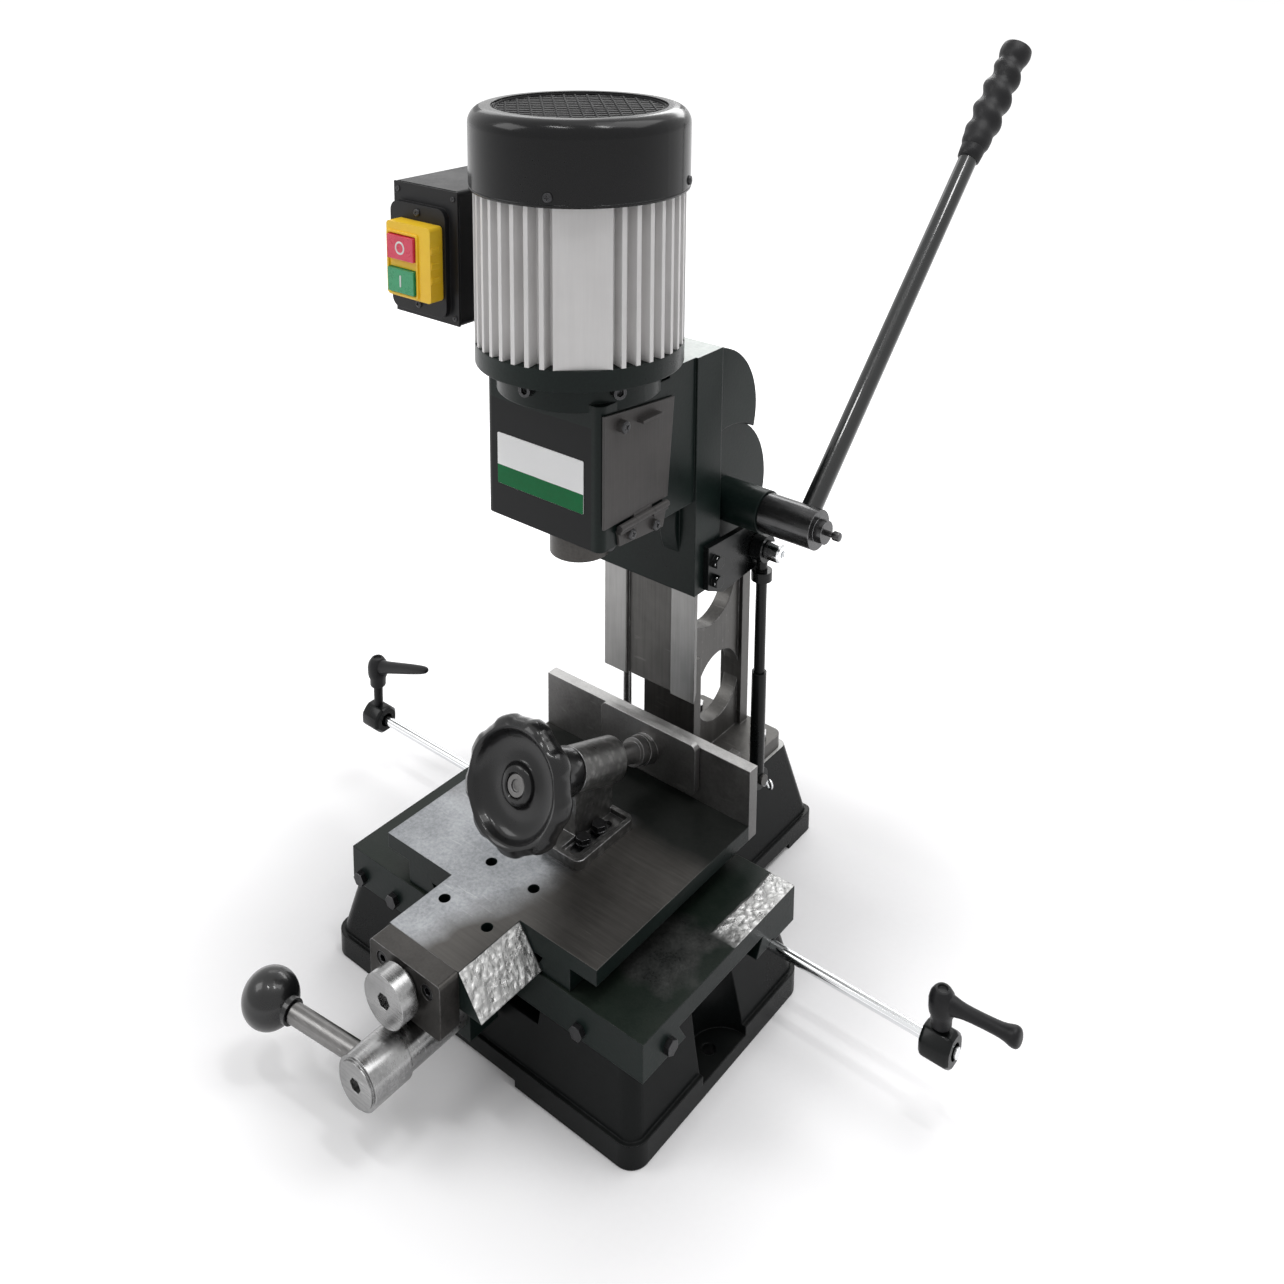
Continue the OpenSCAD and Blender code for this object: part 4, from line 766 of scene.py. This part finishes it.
@dataclass
class Assembly:
    """What every sub-assembly of the scene shares."""

    paint: Paintbox

    def place(self, piece: bpy.types.Object, finish: Finish, body: str, slot: str,
              replaces: Sequence[str] = ()) -> None:
        """Dresses a piece, lets it ride on its body and reports it.

        Args:
            piece: The piece, already in place.
            finish: Its finish.
            body: The body that it moves with.
            slot: The name of a record slot for its finish; not used.
            replaces: The nodes that it stands for.
        """
        self.paint.dress(piece, finish)
        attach(piece, body)
        if replaces:
            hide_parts(*replaces)
        LOG.info("%s rides on %s", piece.name, body)

    def turned(self, name: str, frame: Matrix, profile: Profile, finish: Finish, body: str, slot: str,
               count: int = 48, sharp: float = 32.0, close: bool = True, change: Optional[Change] = None,
               replaces: Sequence[str] = ()) -> None:
        """Turns a profile about the Z of a frame and places the piece.

        Args:
            name: The piece's name.
            frame: Its frame.
            profile: Pairs of radius and height, in millimetres.
            finish, body, slot, replaces: As for place.
            count, close, change: As for Shape.turn.
            sharp: As for Shape.finish.
        """
        shape = Shape(frame)
        shape.turn(profile, count, change, close)
        self.place(shape.finish(name, sharp), finish, body, slot, replaces)

    def raised(self, name: str, frame: Matrix, outline: Profile, levels: Pair, bevel: float, finish: Finish,
               body: str, slot: str) -> None:
        """Raises a flat outline between two levels of a frame and places the piece.

        Args:
            name: The piece's name.
            frame: Its frame.
            outline: The points of the outline, in millimetres.
            levels: The lower and the upper level.
            bevel: The width of the rounding on its edges.
            finish, body, slot: As for place.
        """
        shape = Shape(frame)
        shape.loft([[Vector((x, y, w)) for x, y in outline] for w in levels])
        self.place(shape.finish(name, bevel=bevel), finish, body, slot)

    def screw_head(self, name: str, frame: Matrix, radius: float, height: float, body: str) -> None:
        """Adds a domed screw head with a cross recess.

        Args:
            name: The piece's name.
            frame: Its frame, whose Z looks out of the surface.
            radius: The head's radius in millimetres.
            height: The head's height in millimetres.
            body: The body that it moves with.
        """
        def crossed(r: float, _w: float, a: float) -> float:
            """Pulls the inner loop in between the arms of the cross."""
            return r * (0.42 + 0.58 * abs(math.cos(2 * a)) ** 3) if r < radius * 0.62 else r

        profile = [(radius, -0.2), (radius, height * 0.35), (radius * 0.93, height * 0.72),
                   (radius * 0.78, height * 0.93), (radius * 0.64, height), (radius * 0.6, height),
                   (radius * 0.5, height * 0.35), (0.05, height * 0.3)]
        self.turned(name, frame, profile, BLACK_STEEL, body, "black_steel", sharp=38.0, change=crossed)

    def screws(self, name: str, places: Sequence[Point], out: Vector, side: Vector, size: Pair) -> None:
        """Adds the head's screws of one kind, which look one way and have one radius and height."""
        for i, place in enumerate(places):
            self.screw_head(f"{name}_{i}", tilted(at(*place), out, side), *size, "head_body")


@dataclass
class Motor(Assembly):
    """The motor's finer detail."""

    cover_radius: float = 78.0
    screw_height: float = 623.0
    screw_angles: tuple[float, ...] = (-64.0, 26.0, 116.0, 206.0)
    rim_height: float = 616.0
    grille_floor: float = 671.0
    grille_radius: float = 57.0
    grille_bars: int = 6
    grille_pitch: float = 8.6

    def build(self) -> None:
        """Adds the cover's screws, the rolled bead round its lower rim and its grille."""
        for i, angle in enumerate(self.screw_angles):
            a = math.radians(angle)
            out = Vector((math.cos(a), math.sin(a), 0))
            origin = at(self.cover_radius * out.x, self.cover_radius * out.y, self.screw_height)
            self.screw_head(f"cover_screw_{i}", tilted(origin, out, UP), 3.4, 1.8, "head_body")
        bead = oval_ring(self.cover_radius - 0.4, 1.3, 0.75, 1.1)
        self.turned("cover_bead", tilted(at(0, 0, self.rim_height), UP), bead, COVER_ENAMEL, "head_body",
                    "black_plastic", 96, 60.0, close=False)
        self._grille()

    def _grille(self) -> None:
        """Adds the bars that cross the cover's slots, and the ring that they end in."""
        floor = at(0, 0, self.grille_floor)
        bars = Shape(tilted(floor, UP, Vector((1, 1, 0))))
        r = self.grille_radius
        for i in range(-self.grille_bars, self.grille_bars + 1):
            x = i * self.grille_pitch
            half = math.sqrt(r * r - x * x)
            section = ((x - 0.9, -0.6), (x + 0.9, -0.6), (x + 0.6, 0.7), (x - 0.6, 0.7))
            bars.loft([[Vector((u, y, w)) for u, w in section] for y in (-half, half)])
        self.place(bars.finish("grille_bars", bevel=0.25), GRILLE_ENAMEL, "head_body", "black_plastic")
        profile = [(r + 2.0, -0.2), (r + 3.6, -0.2), (r + 3.6, 0.9), (r + 2.9, 1.4), (r + 2.2, 0.9),
                   (r + 2.0, -0.2)]
        self.turned("grille_ring", tilted(floor, UP), profile, GRILLE_ENAMEL, "head_body", "black_plastic",
                    120, 60.0, close=False)


@dataclass
class Head(Assembly):
    """The bare plate on the front, the door's fixings and the strut's bright pin."""

    front: float = -41.0
    plate_x: Pair = (-43.0, 39.5)
    plate_z: Pair = (395.0, 434.0)
    door_screws: tuple[Point, ...] = ((59.4, -12.0, 375.5), (59.4, 15.2, 372.0))
    catch: Point = (62.0, -23.0, 459.0)
    pin_x: Pair = (73.2, 87.0)
    pin_y: float = 142.0
    pin_z: float = 307.0
    bracket_bolts: tuple[Point, ...] = ((65.0, 86.0, 316.0), (65.0, 86.0, 300.0))

    def build(self) -> None:
        """Adds the plate, the screws and the strut's pin."""
        width, height = self.plate_x[1] - self.plate_x[0], self.plate_z[1] - self.plate_z[0]
        middle = at(sum(self.plate_x) / 2, self.front, sum(self.plate_z) / 2)
        outline = rounded_outline(width, height, 1.2)
        self.raised("bare_plate", tilted(middle, FRONT), outline, (-0.1, 0.5), 0.2, BARE_PLATE, "head_body",
                    "silver_enamel")
        self.screws("door_strip_screw", self.door_screws, RIGHT, Vector((0, 1, 0.3)), (4.0, 1.2))
        frame = tilted(at(*self.catch), RIGHT, Vector((0, 1, 0.5)))
        self.screw_head("door_catch_screw", frame, 4.4, 1.0, "door_body")
        self._strut_pin()

    def _strut_pin(self) -> None:
        """Adds the bright drilled pin through the strut's upper eye and the bracket's bolt heads."""
        start, end = self.pin_x
        pin = [(6.1, start), (7.4, start + 0.5), (7.6, start + 1.2), (7.6, end - 1.4), (6.4, end), (2.9, end),
               (2.6, end - 0.5), (2.6, end - 5.0), (0.05, end - 6.0)]
        self.turned("strut_pin", tilted(at(0, self.pin_y, self.pin_z), RIGHT, BACK), pin, CHROME, "head_body",
                    "chrome")
        crown = [(4.9, -0.1), (4.9, 0.3), (4.0, 1.0), (2.4, 1.4), (0.05, 1.5)]
        for i, place in enumerate(self.bracket_bolts):
            frame = tilted(at(*place), RIGHT, Vector((0, 1, 0.2)))
            self.turned(f"bracket_bolt_crown_{i}", frame, crown, CHROME, "head_body", "chrome", 36)


@dataclass
class Switch(Assembly):
    """The switch's marks, fixings and frame."""

    button_face: float = -63.0
    middle_x: float = -119.25
    off_middle: float = 561.75
    on_middle: float = 536.75
    plate_screws: tuple[Point, ...] = ((-116.5, -48.0, 586.0), (-116.5, -48.0, 516.8))
    box_screws: tuple[Point, ...] = ((-142.0, -43.5, 600.0), (-83.0, -43.5, 600.0), (-82.6, -43.5, 511.0))
    lip_middle: Pair = (-60.0, 549.25)
    rib_sides: tuple[tuple[str, float], ...] = (("left", -136.9), ("right", -90.1))
    rib_face: float = -54.5
    rib_heights: tuple[float, ...] = (541.0, 552.0, 563.0)

    def build(self) -> None:
        """Adds the ring and the bar, the cover's screws and the raised frame of the yellow body."""
        frame = tilted(at(self.middle_x, self.button_face, self.off_middle), FRONT)
        self.turned("off_mark", frame, oval_ring(4.3, 0.0, 0.75, 0.35), WHITE_MARK, "stop_button",
                    "silver_enamel", sharp=60.0, close=False)
        frame = tilted(at(self.middle_x, self.button_face, self.on_middle), FRONT)
        self.raised("on_mark", frame, rounded_outline(1.5, 9.0, 0.7), (-0.1, 0.35), 0.1, WHITE_MARK,
                    "start_button", "silver_enamel")
        self.screws("switch_screw", self.plate_screws, FRONT, Vector((1, 0, 0.4)), (3.0, 1.4))
        self.screws("box_screw", self.box_screws, FRONT, Vector((1, 0, -0.3)), (2.2, 0.9))
        self._frame()

    def _frame(self) -> None:
        """Adds the raised lip round the buttons and the side grips of the yellow body."""
        lip = Shape(tilted(at(self.middle_x, *self.lip_middle), FRONT))
        outer = rounded_outline(33.5, 48.5, 2.2)
        inner = rounded_outline(29.6, 44.6, 1.0)
        levels = ((outer, -0.1), (outer, 1.2), (inner, 1.2), (inner, -0.1))
        lip.loft([[Vector((x, y, w)) for x, y in loop] for loop, w in levels], (False, False))
        self.place(lip.finish("switch_lip", bevel=0.3), YELLOW_MOULDED, "head_body", "yellow_plastic")
        for side, x in self.rib_sides:
            for i, z in enumerate(self.rib_heights):
                self.raised(f"switch_rib_{side}_{i}", tilted(at(x, self.rib_face, z), FRONT),
                            rounded_outline(1.8, 5.0, 0.8), (-3.5, 5.0), 0.25, YELLOW_MOULDED, "head_body",
                            "yellow_plastic")


@dataclass
class FeedLever(Assembly):
    """The feed lever's grip, its ferrule and the screw at the end of its hub."""

    root: Point = (118.0, 121.0, 350.0)
    lean: float = 46.3
    grip: Pair = (364.0, 483.0)
    grip_steps: int = 64
    hub_end: float = 138.0

    def build(self) -> None:
        """Adds the grip with its winding finger ribs, the ferrule below it and the hub's end screw."""
        start, end = self.grip
        length = end - start
        lean = math.radians(self.lean)
        rod = tilted(at(*self.root), Vector((0, math.sin(lean), math.cos(lean))))

        def wound(r: float, w: float, a: float) -> float:
            """Lets the finger ribs wind round the grip.

            Args:
                r: The radius.
                w: The height.
                a: The angle.

            Returns:
                The new radius.
            """
            share = (w - start) / length
            fade = max(0.0, min(1.0, (share - 0.1) / 0.12, (0.86 - share) / 0.1))
            return r + fade * 1.7 * math.sin(math.tau * (share * 4.6) + a)

        profile = [(9.4, start)]
        for i in range(self.grip_steps + 1):
            share = i / self.grip_steps
            r = 11.4 + 1.9 * math.sin(math.pi * min(1.0, share * 1.15)) ** 0.6
            if share > 0.86:
                r += 2.6 * math.sin(math.pi * (share - 0.86) / 0.2)
            if share < 0.05:
                r -= 1.5 * (1 - share / 0.05)
            profile.append((r, start + 0.5 + (length - 3.5) * share))
        profile += [(13.2, end - 1.6), (11.0, end - 0.5), (7.0, end), (0.05, end)]
        self.turned("lever_grip_moulded", rod, profile, SATIN_MOULDED, "feed_lever", "black_plastic", 40,
                    50.0, change=wound, replaces=["lever_grip"])
        ferrule = [(8.3, start - 12), (9.6, start - 11), (10.2, start - 4), (10.4, start + 1.0),
                   (8.3, start + 1.0)]
        self.turned("grip_ferrule", rod, ferrule, SATIN_MOULDED, "feed_lever", "black_plastic", 40, 50.0,
                    close=False)
        self._hub_end()

    def _hub_end(self) -> None:
        """Adds the knurled screw in the end of the hub."""
        def knurled(r: float, w: float, a: float) -> float:
            """Cuts the fine flutes of the knurl into the head."""
            return r * (1.0 - 0.07 * (0.5 + 0.5 * math.cos(18 * a))) if 6.0 < w < 11.0 else r

        profile = [(2.1, -0.5), (2.1, 5.4), (3.2, 5.8), (3.6, 6.4), (3.6, 10.6), (3.0, 11.4), (0.05, 11.8)]
        self.turned("hub_end_screw", tilted(at(self.hub_end, *self.root[1:]), RIGHT, BACK), profile,
                    POLISHED_DARK, "feed_lever", "steel", 72, change=knurled)


@dataclass
class Clamp(Assembly):
    """The work clamp's lobed handwheel."""

    pad: Point = (14.0, 61.0, 148.8)
    tilt: float = 19.0
    radius: float = 47.0
    rim_depth: float = 7.5
    lobes: int = 9
    lobe_depth: float = 1.1

    def build(self) -> None:
        """Adds the dished wheel with its finger lobes and the nut in its middle."""
        rim = self.radius
        tilt = math.radians(self.tilt)
        screw = tilted(at(*self.pad), Vector((0, -math.cos(tilt), math.sin(tilt))))

        def lobed(r: float, _w: float, a: float) -> float:
            """Scallops the outside of the rim between the fingers.

            Args:
                r: The radius.
                _w: The height.
                a: The angle.

            Returns:
                The new radius.
            """
            if r < rim - self.rim_depth:
                return r
            wave = math.tanh(2.4 * math.cos(self.lobes * a))
            return r - self.lobe_depth * (1 - wave) * min(1.0, (r - rim + self.rim_depth) / 4.0)

        profile = [(8.4, 97.5), (17.2, 97.5), (18.0, 98.6), (18.3, 112), (18.6, 134), (20.0, 138.6),
                   (24.0, 141.6), (rim - 12, 143.2), (rim - 5.5, 143.6), (rim - 1.8, 144.6),
                   (rim - 0.3, 146.4), (rim, 149), (rim, 152), (rim - 0.6, 155), (rim - 2.6, 158),
                   (rim - 6.0, 159.8),
                   (rim - 8.4, 159.2), (rim - 9.8, 157.2), (rim - 11.2, 153.6), (rim - 13.5, 151),
                   (rim - 17.5, 149.4), (24.0, 148.8), (17.0, 149.0), (15.2, 149.8), (14.4, 151.4),
                   (14.0, 153.2), (12.8, 154.4), (9.4, 154.8), (8.6, 154.0), (8.4, 147.0), (8.4, 97.5)]
        self.turned("handwheel_moulded", screw, profile, WHEEL_RIM, "clamp_wheel_body", "black_plastic", 144,
                    42.0, close=False, change=lobed, replaces=["clamp_handwheel"])
        nut = [(8.3, 138.0), (8.3, 153.0), (7.4, 154.0), (4.4, 154.0), (3.9, 152.0), (0.05, 151.6)]
        self.turned("handwheel_nut", screw, nut, DARK_STEEL, "clamp_wheel_body", "steel", 40, 35.0)


@dataclass
class StopLever(Assembly):
    """One clamping lever and the collar that it locks on the rod."""

    side: str = "left"
    x: float = -288.0
    top: float = 110.0
    reach: float = 68.0
    lift: float = 19.0
    bladed: bool = True
    rod_height: float = 60.0
    rod_back: float = 42.0
    flats: int = 8
    arm_points: int = 32

    def build(self) -> None:
        """Adds the collar's round body and the moulded lever."""
        corner = math.pi / self.flats

        def octagonal(r: float, _w: float, a: float) -> float:
            """Keeps soft flats on the collar's outside.

            Args:
                r: The radius.
                _w: The height.
                a: The angle.

            Returns:
                The new radius.
            """
            if r < 9:
                return r
            part = (a + corner) % (2 * corner) - corner
            return r * (0.35 + 0.65 * math.cos(corner) / math.cos(part))

        frame = tilted(at(self.x, self.rod_back, self.rod_height), RIGHT, BACK)
        profile = [(6.1, -11), (10.6, -11), (12.4, -9.4), (12.8, -8), (12.8, 8), (12.4, 9.4), (10.6, 11),
                   (6.1, 11), (6.1, -11)]
        self.turned(f"stop_collar_{self.side}_turned", frame, profile, PAINTED_STEEL, f"{self.side}_stop",
                    "black_enamel", 64, 34.0, close=False, change=octagonal,
                    replaces=[f"stop_collar_{self.side}"])
        self._boss()
        self._arm()

    def _boss(self) -> None:
        """Adds the bell-shaped boss with its stud and cap screw."""
        z = self.top
        profile = [(4.0, self.rod_height + 6), (4.2, z - 18), (6.8, z - 18), (7.2, z - 17), (7.3, z - 11),
                   (8.6, z - 8), (9.0, z - 5), (9.1, z + 1), (8.2, z + 5), (6.4, z + 8), (5.2, z + 9.4),
                   (3.6, z + 9.6), (3.2, z + 8.2), (0.05, z + 8.0)]
        self.turned(f"stop_lever_{self.side}_boss", tilted(at(self.x, self.rod_back, 0), UP), profile,
                    SATIN_MOULDED, f"{self.side}_stop_handle", "black_plastic", sharp=34.0,
                    replaces=[f"stop_lever_{self.side}"])

    def _arm(self) -> None:
        """Adds the lever's arm, a tapering blade or a round bar with a knob."""
        a = math.radians(self.lift)
        arm = Shape(tilted(at(self.x, self.rod_back, self.top), Vector((math.cos(a), 0, math.sin(a))), BACK))
        end = self.reach + 5
        if self.bladed:
            stations = [(3, 6.5, 7.5), (9, 5.6, 6.2), (14, 4.9, 5.4), (end * 0.5, 4.6, 5.0),
                        (end * 0.8, 4.3, 4.2), (end - 5, 3.9, 3.4), (end - 1.6, 2.9, 2.5), (end, 1.2, 1.0)]
        else:
            stations = [(3, 6.6, 8.0), (8, 5.6, 7.2), (13, 4.6, 5.6), (20, 4.3, 4.8), (end - 16, 4.5, 4.7),
                        (end - 10, 5.2, 5.4), (end - 6, 6.8, 7.0), (end - 2.4, 6.9, 7.1),
                        (end - 0.6, 5.2, 5.4), (end, 2.4, 2.5)]
        turns = [math.tau * i / self.arm_points for i in range(self.arm_points)]
        arm.loft([[Vector((across * math.cos(t), deep * math.sin(t), w)) for t in turns]
                  for w, across, deep in stations])
        self.place(arm.finish(f"stop_lever_{self.side}_arm", 60.0, smooth=1), SATIN_MOULDED,
                   f"{self.side}_stop_handle", "black_plastic")


@dataclass
class Pedestal(Assembly):
    """The small eye on the pedestal's right wall."""

    eye: Point = (51.5, 181.0, 69.0)

    def build(self) -> None:
        """Adds the eye and the shank that holds it."""
        x, y, z = self.eye
        self.turned("wall_eye", tilted(at(x + 4.4, y, z), Vector((0.35, 1, 0)), RIGHT),
                    oval_ring(3.7, 0.0, 1.3, 1.3, 16), CHROME, "frame", "chrome", 40, 60.0, close=False)
        shank = [(1.5, -6), (1.5, 0.2), (3.6, 0.2), (3.6, -1.2), (3.9, -1.2), (3.9, 0.4), (3.4, 0.9),
                 (1.6, 1.0), (1.5, 2.4)]
        self.turned("wall_eye_shank", tilted(at(x, y, z), RIGHT, BACK), shank, CHROME, "frame", "chrome", 32)


@dataclass(frozen=True)
class Lamp:
    """A soft rectangular lamp: where it hangs, what it faces and its size, in metres, and its watts."""

    name: str
    spot: Point
    aim: Point
    size: Pair
    power: float

    def hang(self) -> None:
        """Adds the lamp to the scene."""
        data = bpy.data.lights.new(self.name, "AREA")
        data.shape = "RECTANGLE"
        data.size, data.size_y = self.size
        data.energy = self.power
        lamp = bpy.data.objects.new(self.name, data)
        lamp.location = self.spot
        lamp.rotation_euler = (Vector(self.aim) - Vector(self.spot)).to_track_quat("-Z", "Y").to_euler()
        bpy.context.scene.collection.objects.link(lamp)


MIDDLE = (0.0, 0.05, 0.3)
CROWN = (0.0, 0.02, 0.66)
LAMPS = (
    Lamp("key_softbox", (-1.3, -1.2, 1.9), MIDDLE, (1.0, 1.0), 14.0),
    Lamp("top_softbox", (0.55, 0.7, 2.2), MIDDLE, (1.3, 1.3), 18.0),
    Lamp("table_card", (-1.5, 1.15, 1.45), (0.0, -0.05, 0.12), (0.8, 0.6), 2.2),
    Lamp("rim_card", (-0.55, 1.75, 1.3), CROWN, (1.1, 0.4), 8.0),
    Lamp("front_strip", (0.0, -0.62, 2.25), CROWN, (0.42, 0.12), 5.0),
    Lamp("side_strip", (0.64, 0.0, 2.25), CROWN, (0.12, 0.42), 5.0),
)


@dataclass
class Studio:
    """The camera, the floor and the white surroundings, with the lamps."""

    eye: Point = (0.598, -0.659, 0.809)
    azimuth: float = 38.57
    elevation: float = 10.43
    roll: float = 0.48
    sensor: float = 36.0
    lens: float = 36.87
    shift: Pair = (-0.0016, -0.3855)
    far: float = 60.0
    surround: float = 0.36
    floor_radius: float = 12.0
    floor_height: float = -0.0004
    floor_points: int = 96
    paper: tuple[Colour, Colour] = ((0.84, 0.835, 0.845), (0.87, 0.865, 0.875))
    # Where the floor's painted shadow lies: a box round the base, and the distance over which the dimmed glow
    # rises to white.
    painted_shadow_middle: Point = (0.0, 0.05, 0.0)
    painted_shadow_half: Point = (0.15, 0.14, 1.0)
    painted_shadow_reach: float = 0.45
    glow: Pair = (0.03, 0.8)

    def camera(self) -> None:
        """Sets the camera where the photograph was taken from."""
        data = bpy.data.cameras.new("viewpoint")
        data.sensor_width = self.sensor
        data.lens = self.lens
        data.shift_x, data.shift_y = self.shift
        data.clip_end = self.far
        az, el, roll = (math.radians(v) for v in (self.azimuth, self.elevation, self.roll))
        back = Vector((math.sin(az) * math.cos(el), -math.cos(az) * math.cos(el), math.sin(el)))
        right = Vector((math.cos(az), math.sin(az), 0.0))
        up = back.cross(right)
        side = math.cos(roll) * right + math.sin(roll) * up
        top = -math.sin(roll) * right + math.cos(roll) * up
        camera = bpy.data.objects.new("viewpoint", data)
        camera.matrix_world = Matrix.Translation(self.eye) @ Matrix((side, top, back)).transposed().to_4x4()
        bpy.context.scene.collection.objects.link(camera)
        bpy.context.scene.camera = camera

    def floor(self) -> None:
        """Lays a wide pale floor that keeps the machine's cast shadow, adds a painted shadow round its base
        where the floor's glow is dimmed, and turns white away from it.
        """
        shape = Shape(Matrix.Identity(4))
        disc = [(self.floor_radius, self.floor_height), (MM, self.floor_height)]
        shape.turn(disc, self.floor_points, close=False)
        floor = shape.finish("studio_floor")
        made = bpy.data.materials.new("floor_paper")
        made.use_nodes = True
        graph = Graph(made.node_tree)
        place = graph.add("ShaderNodeTexCoord").outputs["Object"]
        paper = graph.blend(graph.noise(place, 220.0, 4.0), *self.paper)
        diffuse = graph.add("ShaderNodeBsdfDiffuse", {"Color": paper})
        off = graph.vector("ABSOLUTE", graph.vector("SUBTRACT", place, self.painted_shadow_middle))
        past = graph.vector("MAXIMUM", graph.vector("SUBTRACT", off, self.painted_shadow_half))
        # Painted shadow: the floor's glow is low near the base and rises to white over the reach.
        fade = graph.ramp(graph.vector("LENGTH", past), 0.0, self.painted_shadow_reach, self.glow)
        strength = graph.maths("MULTIPLY", self._seen(graph), fade)
        glow = graph.add("ShaderNodeEmission", {"Color": WHITE, "Strength": strength})
        both = graph.add("ShaderNodeAddShader", {0: diffuse.outputs[0], 1: glow.outputs[0]})
        graph.add("ShaderNodeOutputMaterial", {"Surface": both.outputs[0]})
        floor.data.materials.append(made)

    @staticmethod
    def _seen(graph: Graph) -> Socket:
        """Sorts the rays.

        Args:
            graph: The graph that asks.

        Returns:
            1 for the rays of the camera, of reflections and through glass, and 0 for the rest.
        """
        rays = graph.add("ShaderNodeLightPath").outputs
        mirrored = graph.maths("MAXIMUM", rays["Is Glossy Ray"], rays["Is Transmission Ray"])
        return graph.maths("MAXIMUM", rays["Is Camera Ray"], mirrored)

    def world(self) -> None:
        """Surrounds the scene with plain light that the camera and reflections see as white."""
        world = bpy.data.worlds.new("surroundings")
        world.use_nodes = True
        bpy.context.scene.world = world
        graph = Graph(world.node_tree)
        strength = graph.mix(self._seen(graph), self.surround, 1.0)
        light = graph.add("ShaderNodeBackground", {"Color": WHITE, "Strength": strength})
        graph.add("ShaderNodeOutputWorld", {"Surface": light.outputs[0]})

    def build(self) -> None:
        """Sets up the whole studio."""
        self.camera()
        for lamp in LAMPS:
            lamp.hang()
        self.floor()
        self.world()
        bpy.context.scene.view_settings.view_transform = "Standard"


def main() -> None:
    """Loads the frame, dresses every node, adds the detail and sets up the studio."""
    logging.basicConfig(level=logging.INFO, format="%(name)s: %(message)s")
    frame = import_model()
    paint = Paintbox()
    for finish, names in NODE_FINISHES.items():
        for name in names:
            paint.dress(frame["nodes"][name], finish)
            LOG.info("%s is finished in %s", name, finish.name)
    for kind in (Motor, Head, Switch, FeedLever, Clamp, StopLever):
        kind(paint).build()
    StopLever(paint, "right", 284.0, 93.0, 50.0, 4.0, False).build()
    Pedestal(paint).build()
    Studio().build()


if __name__ == "__main__":
    main()
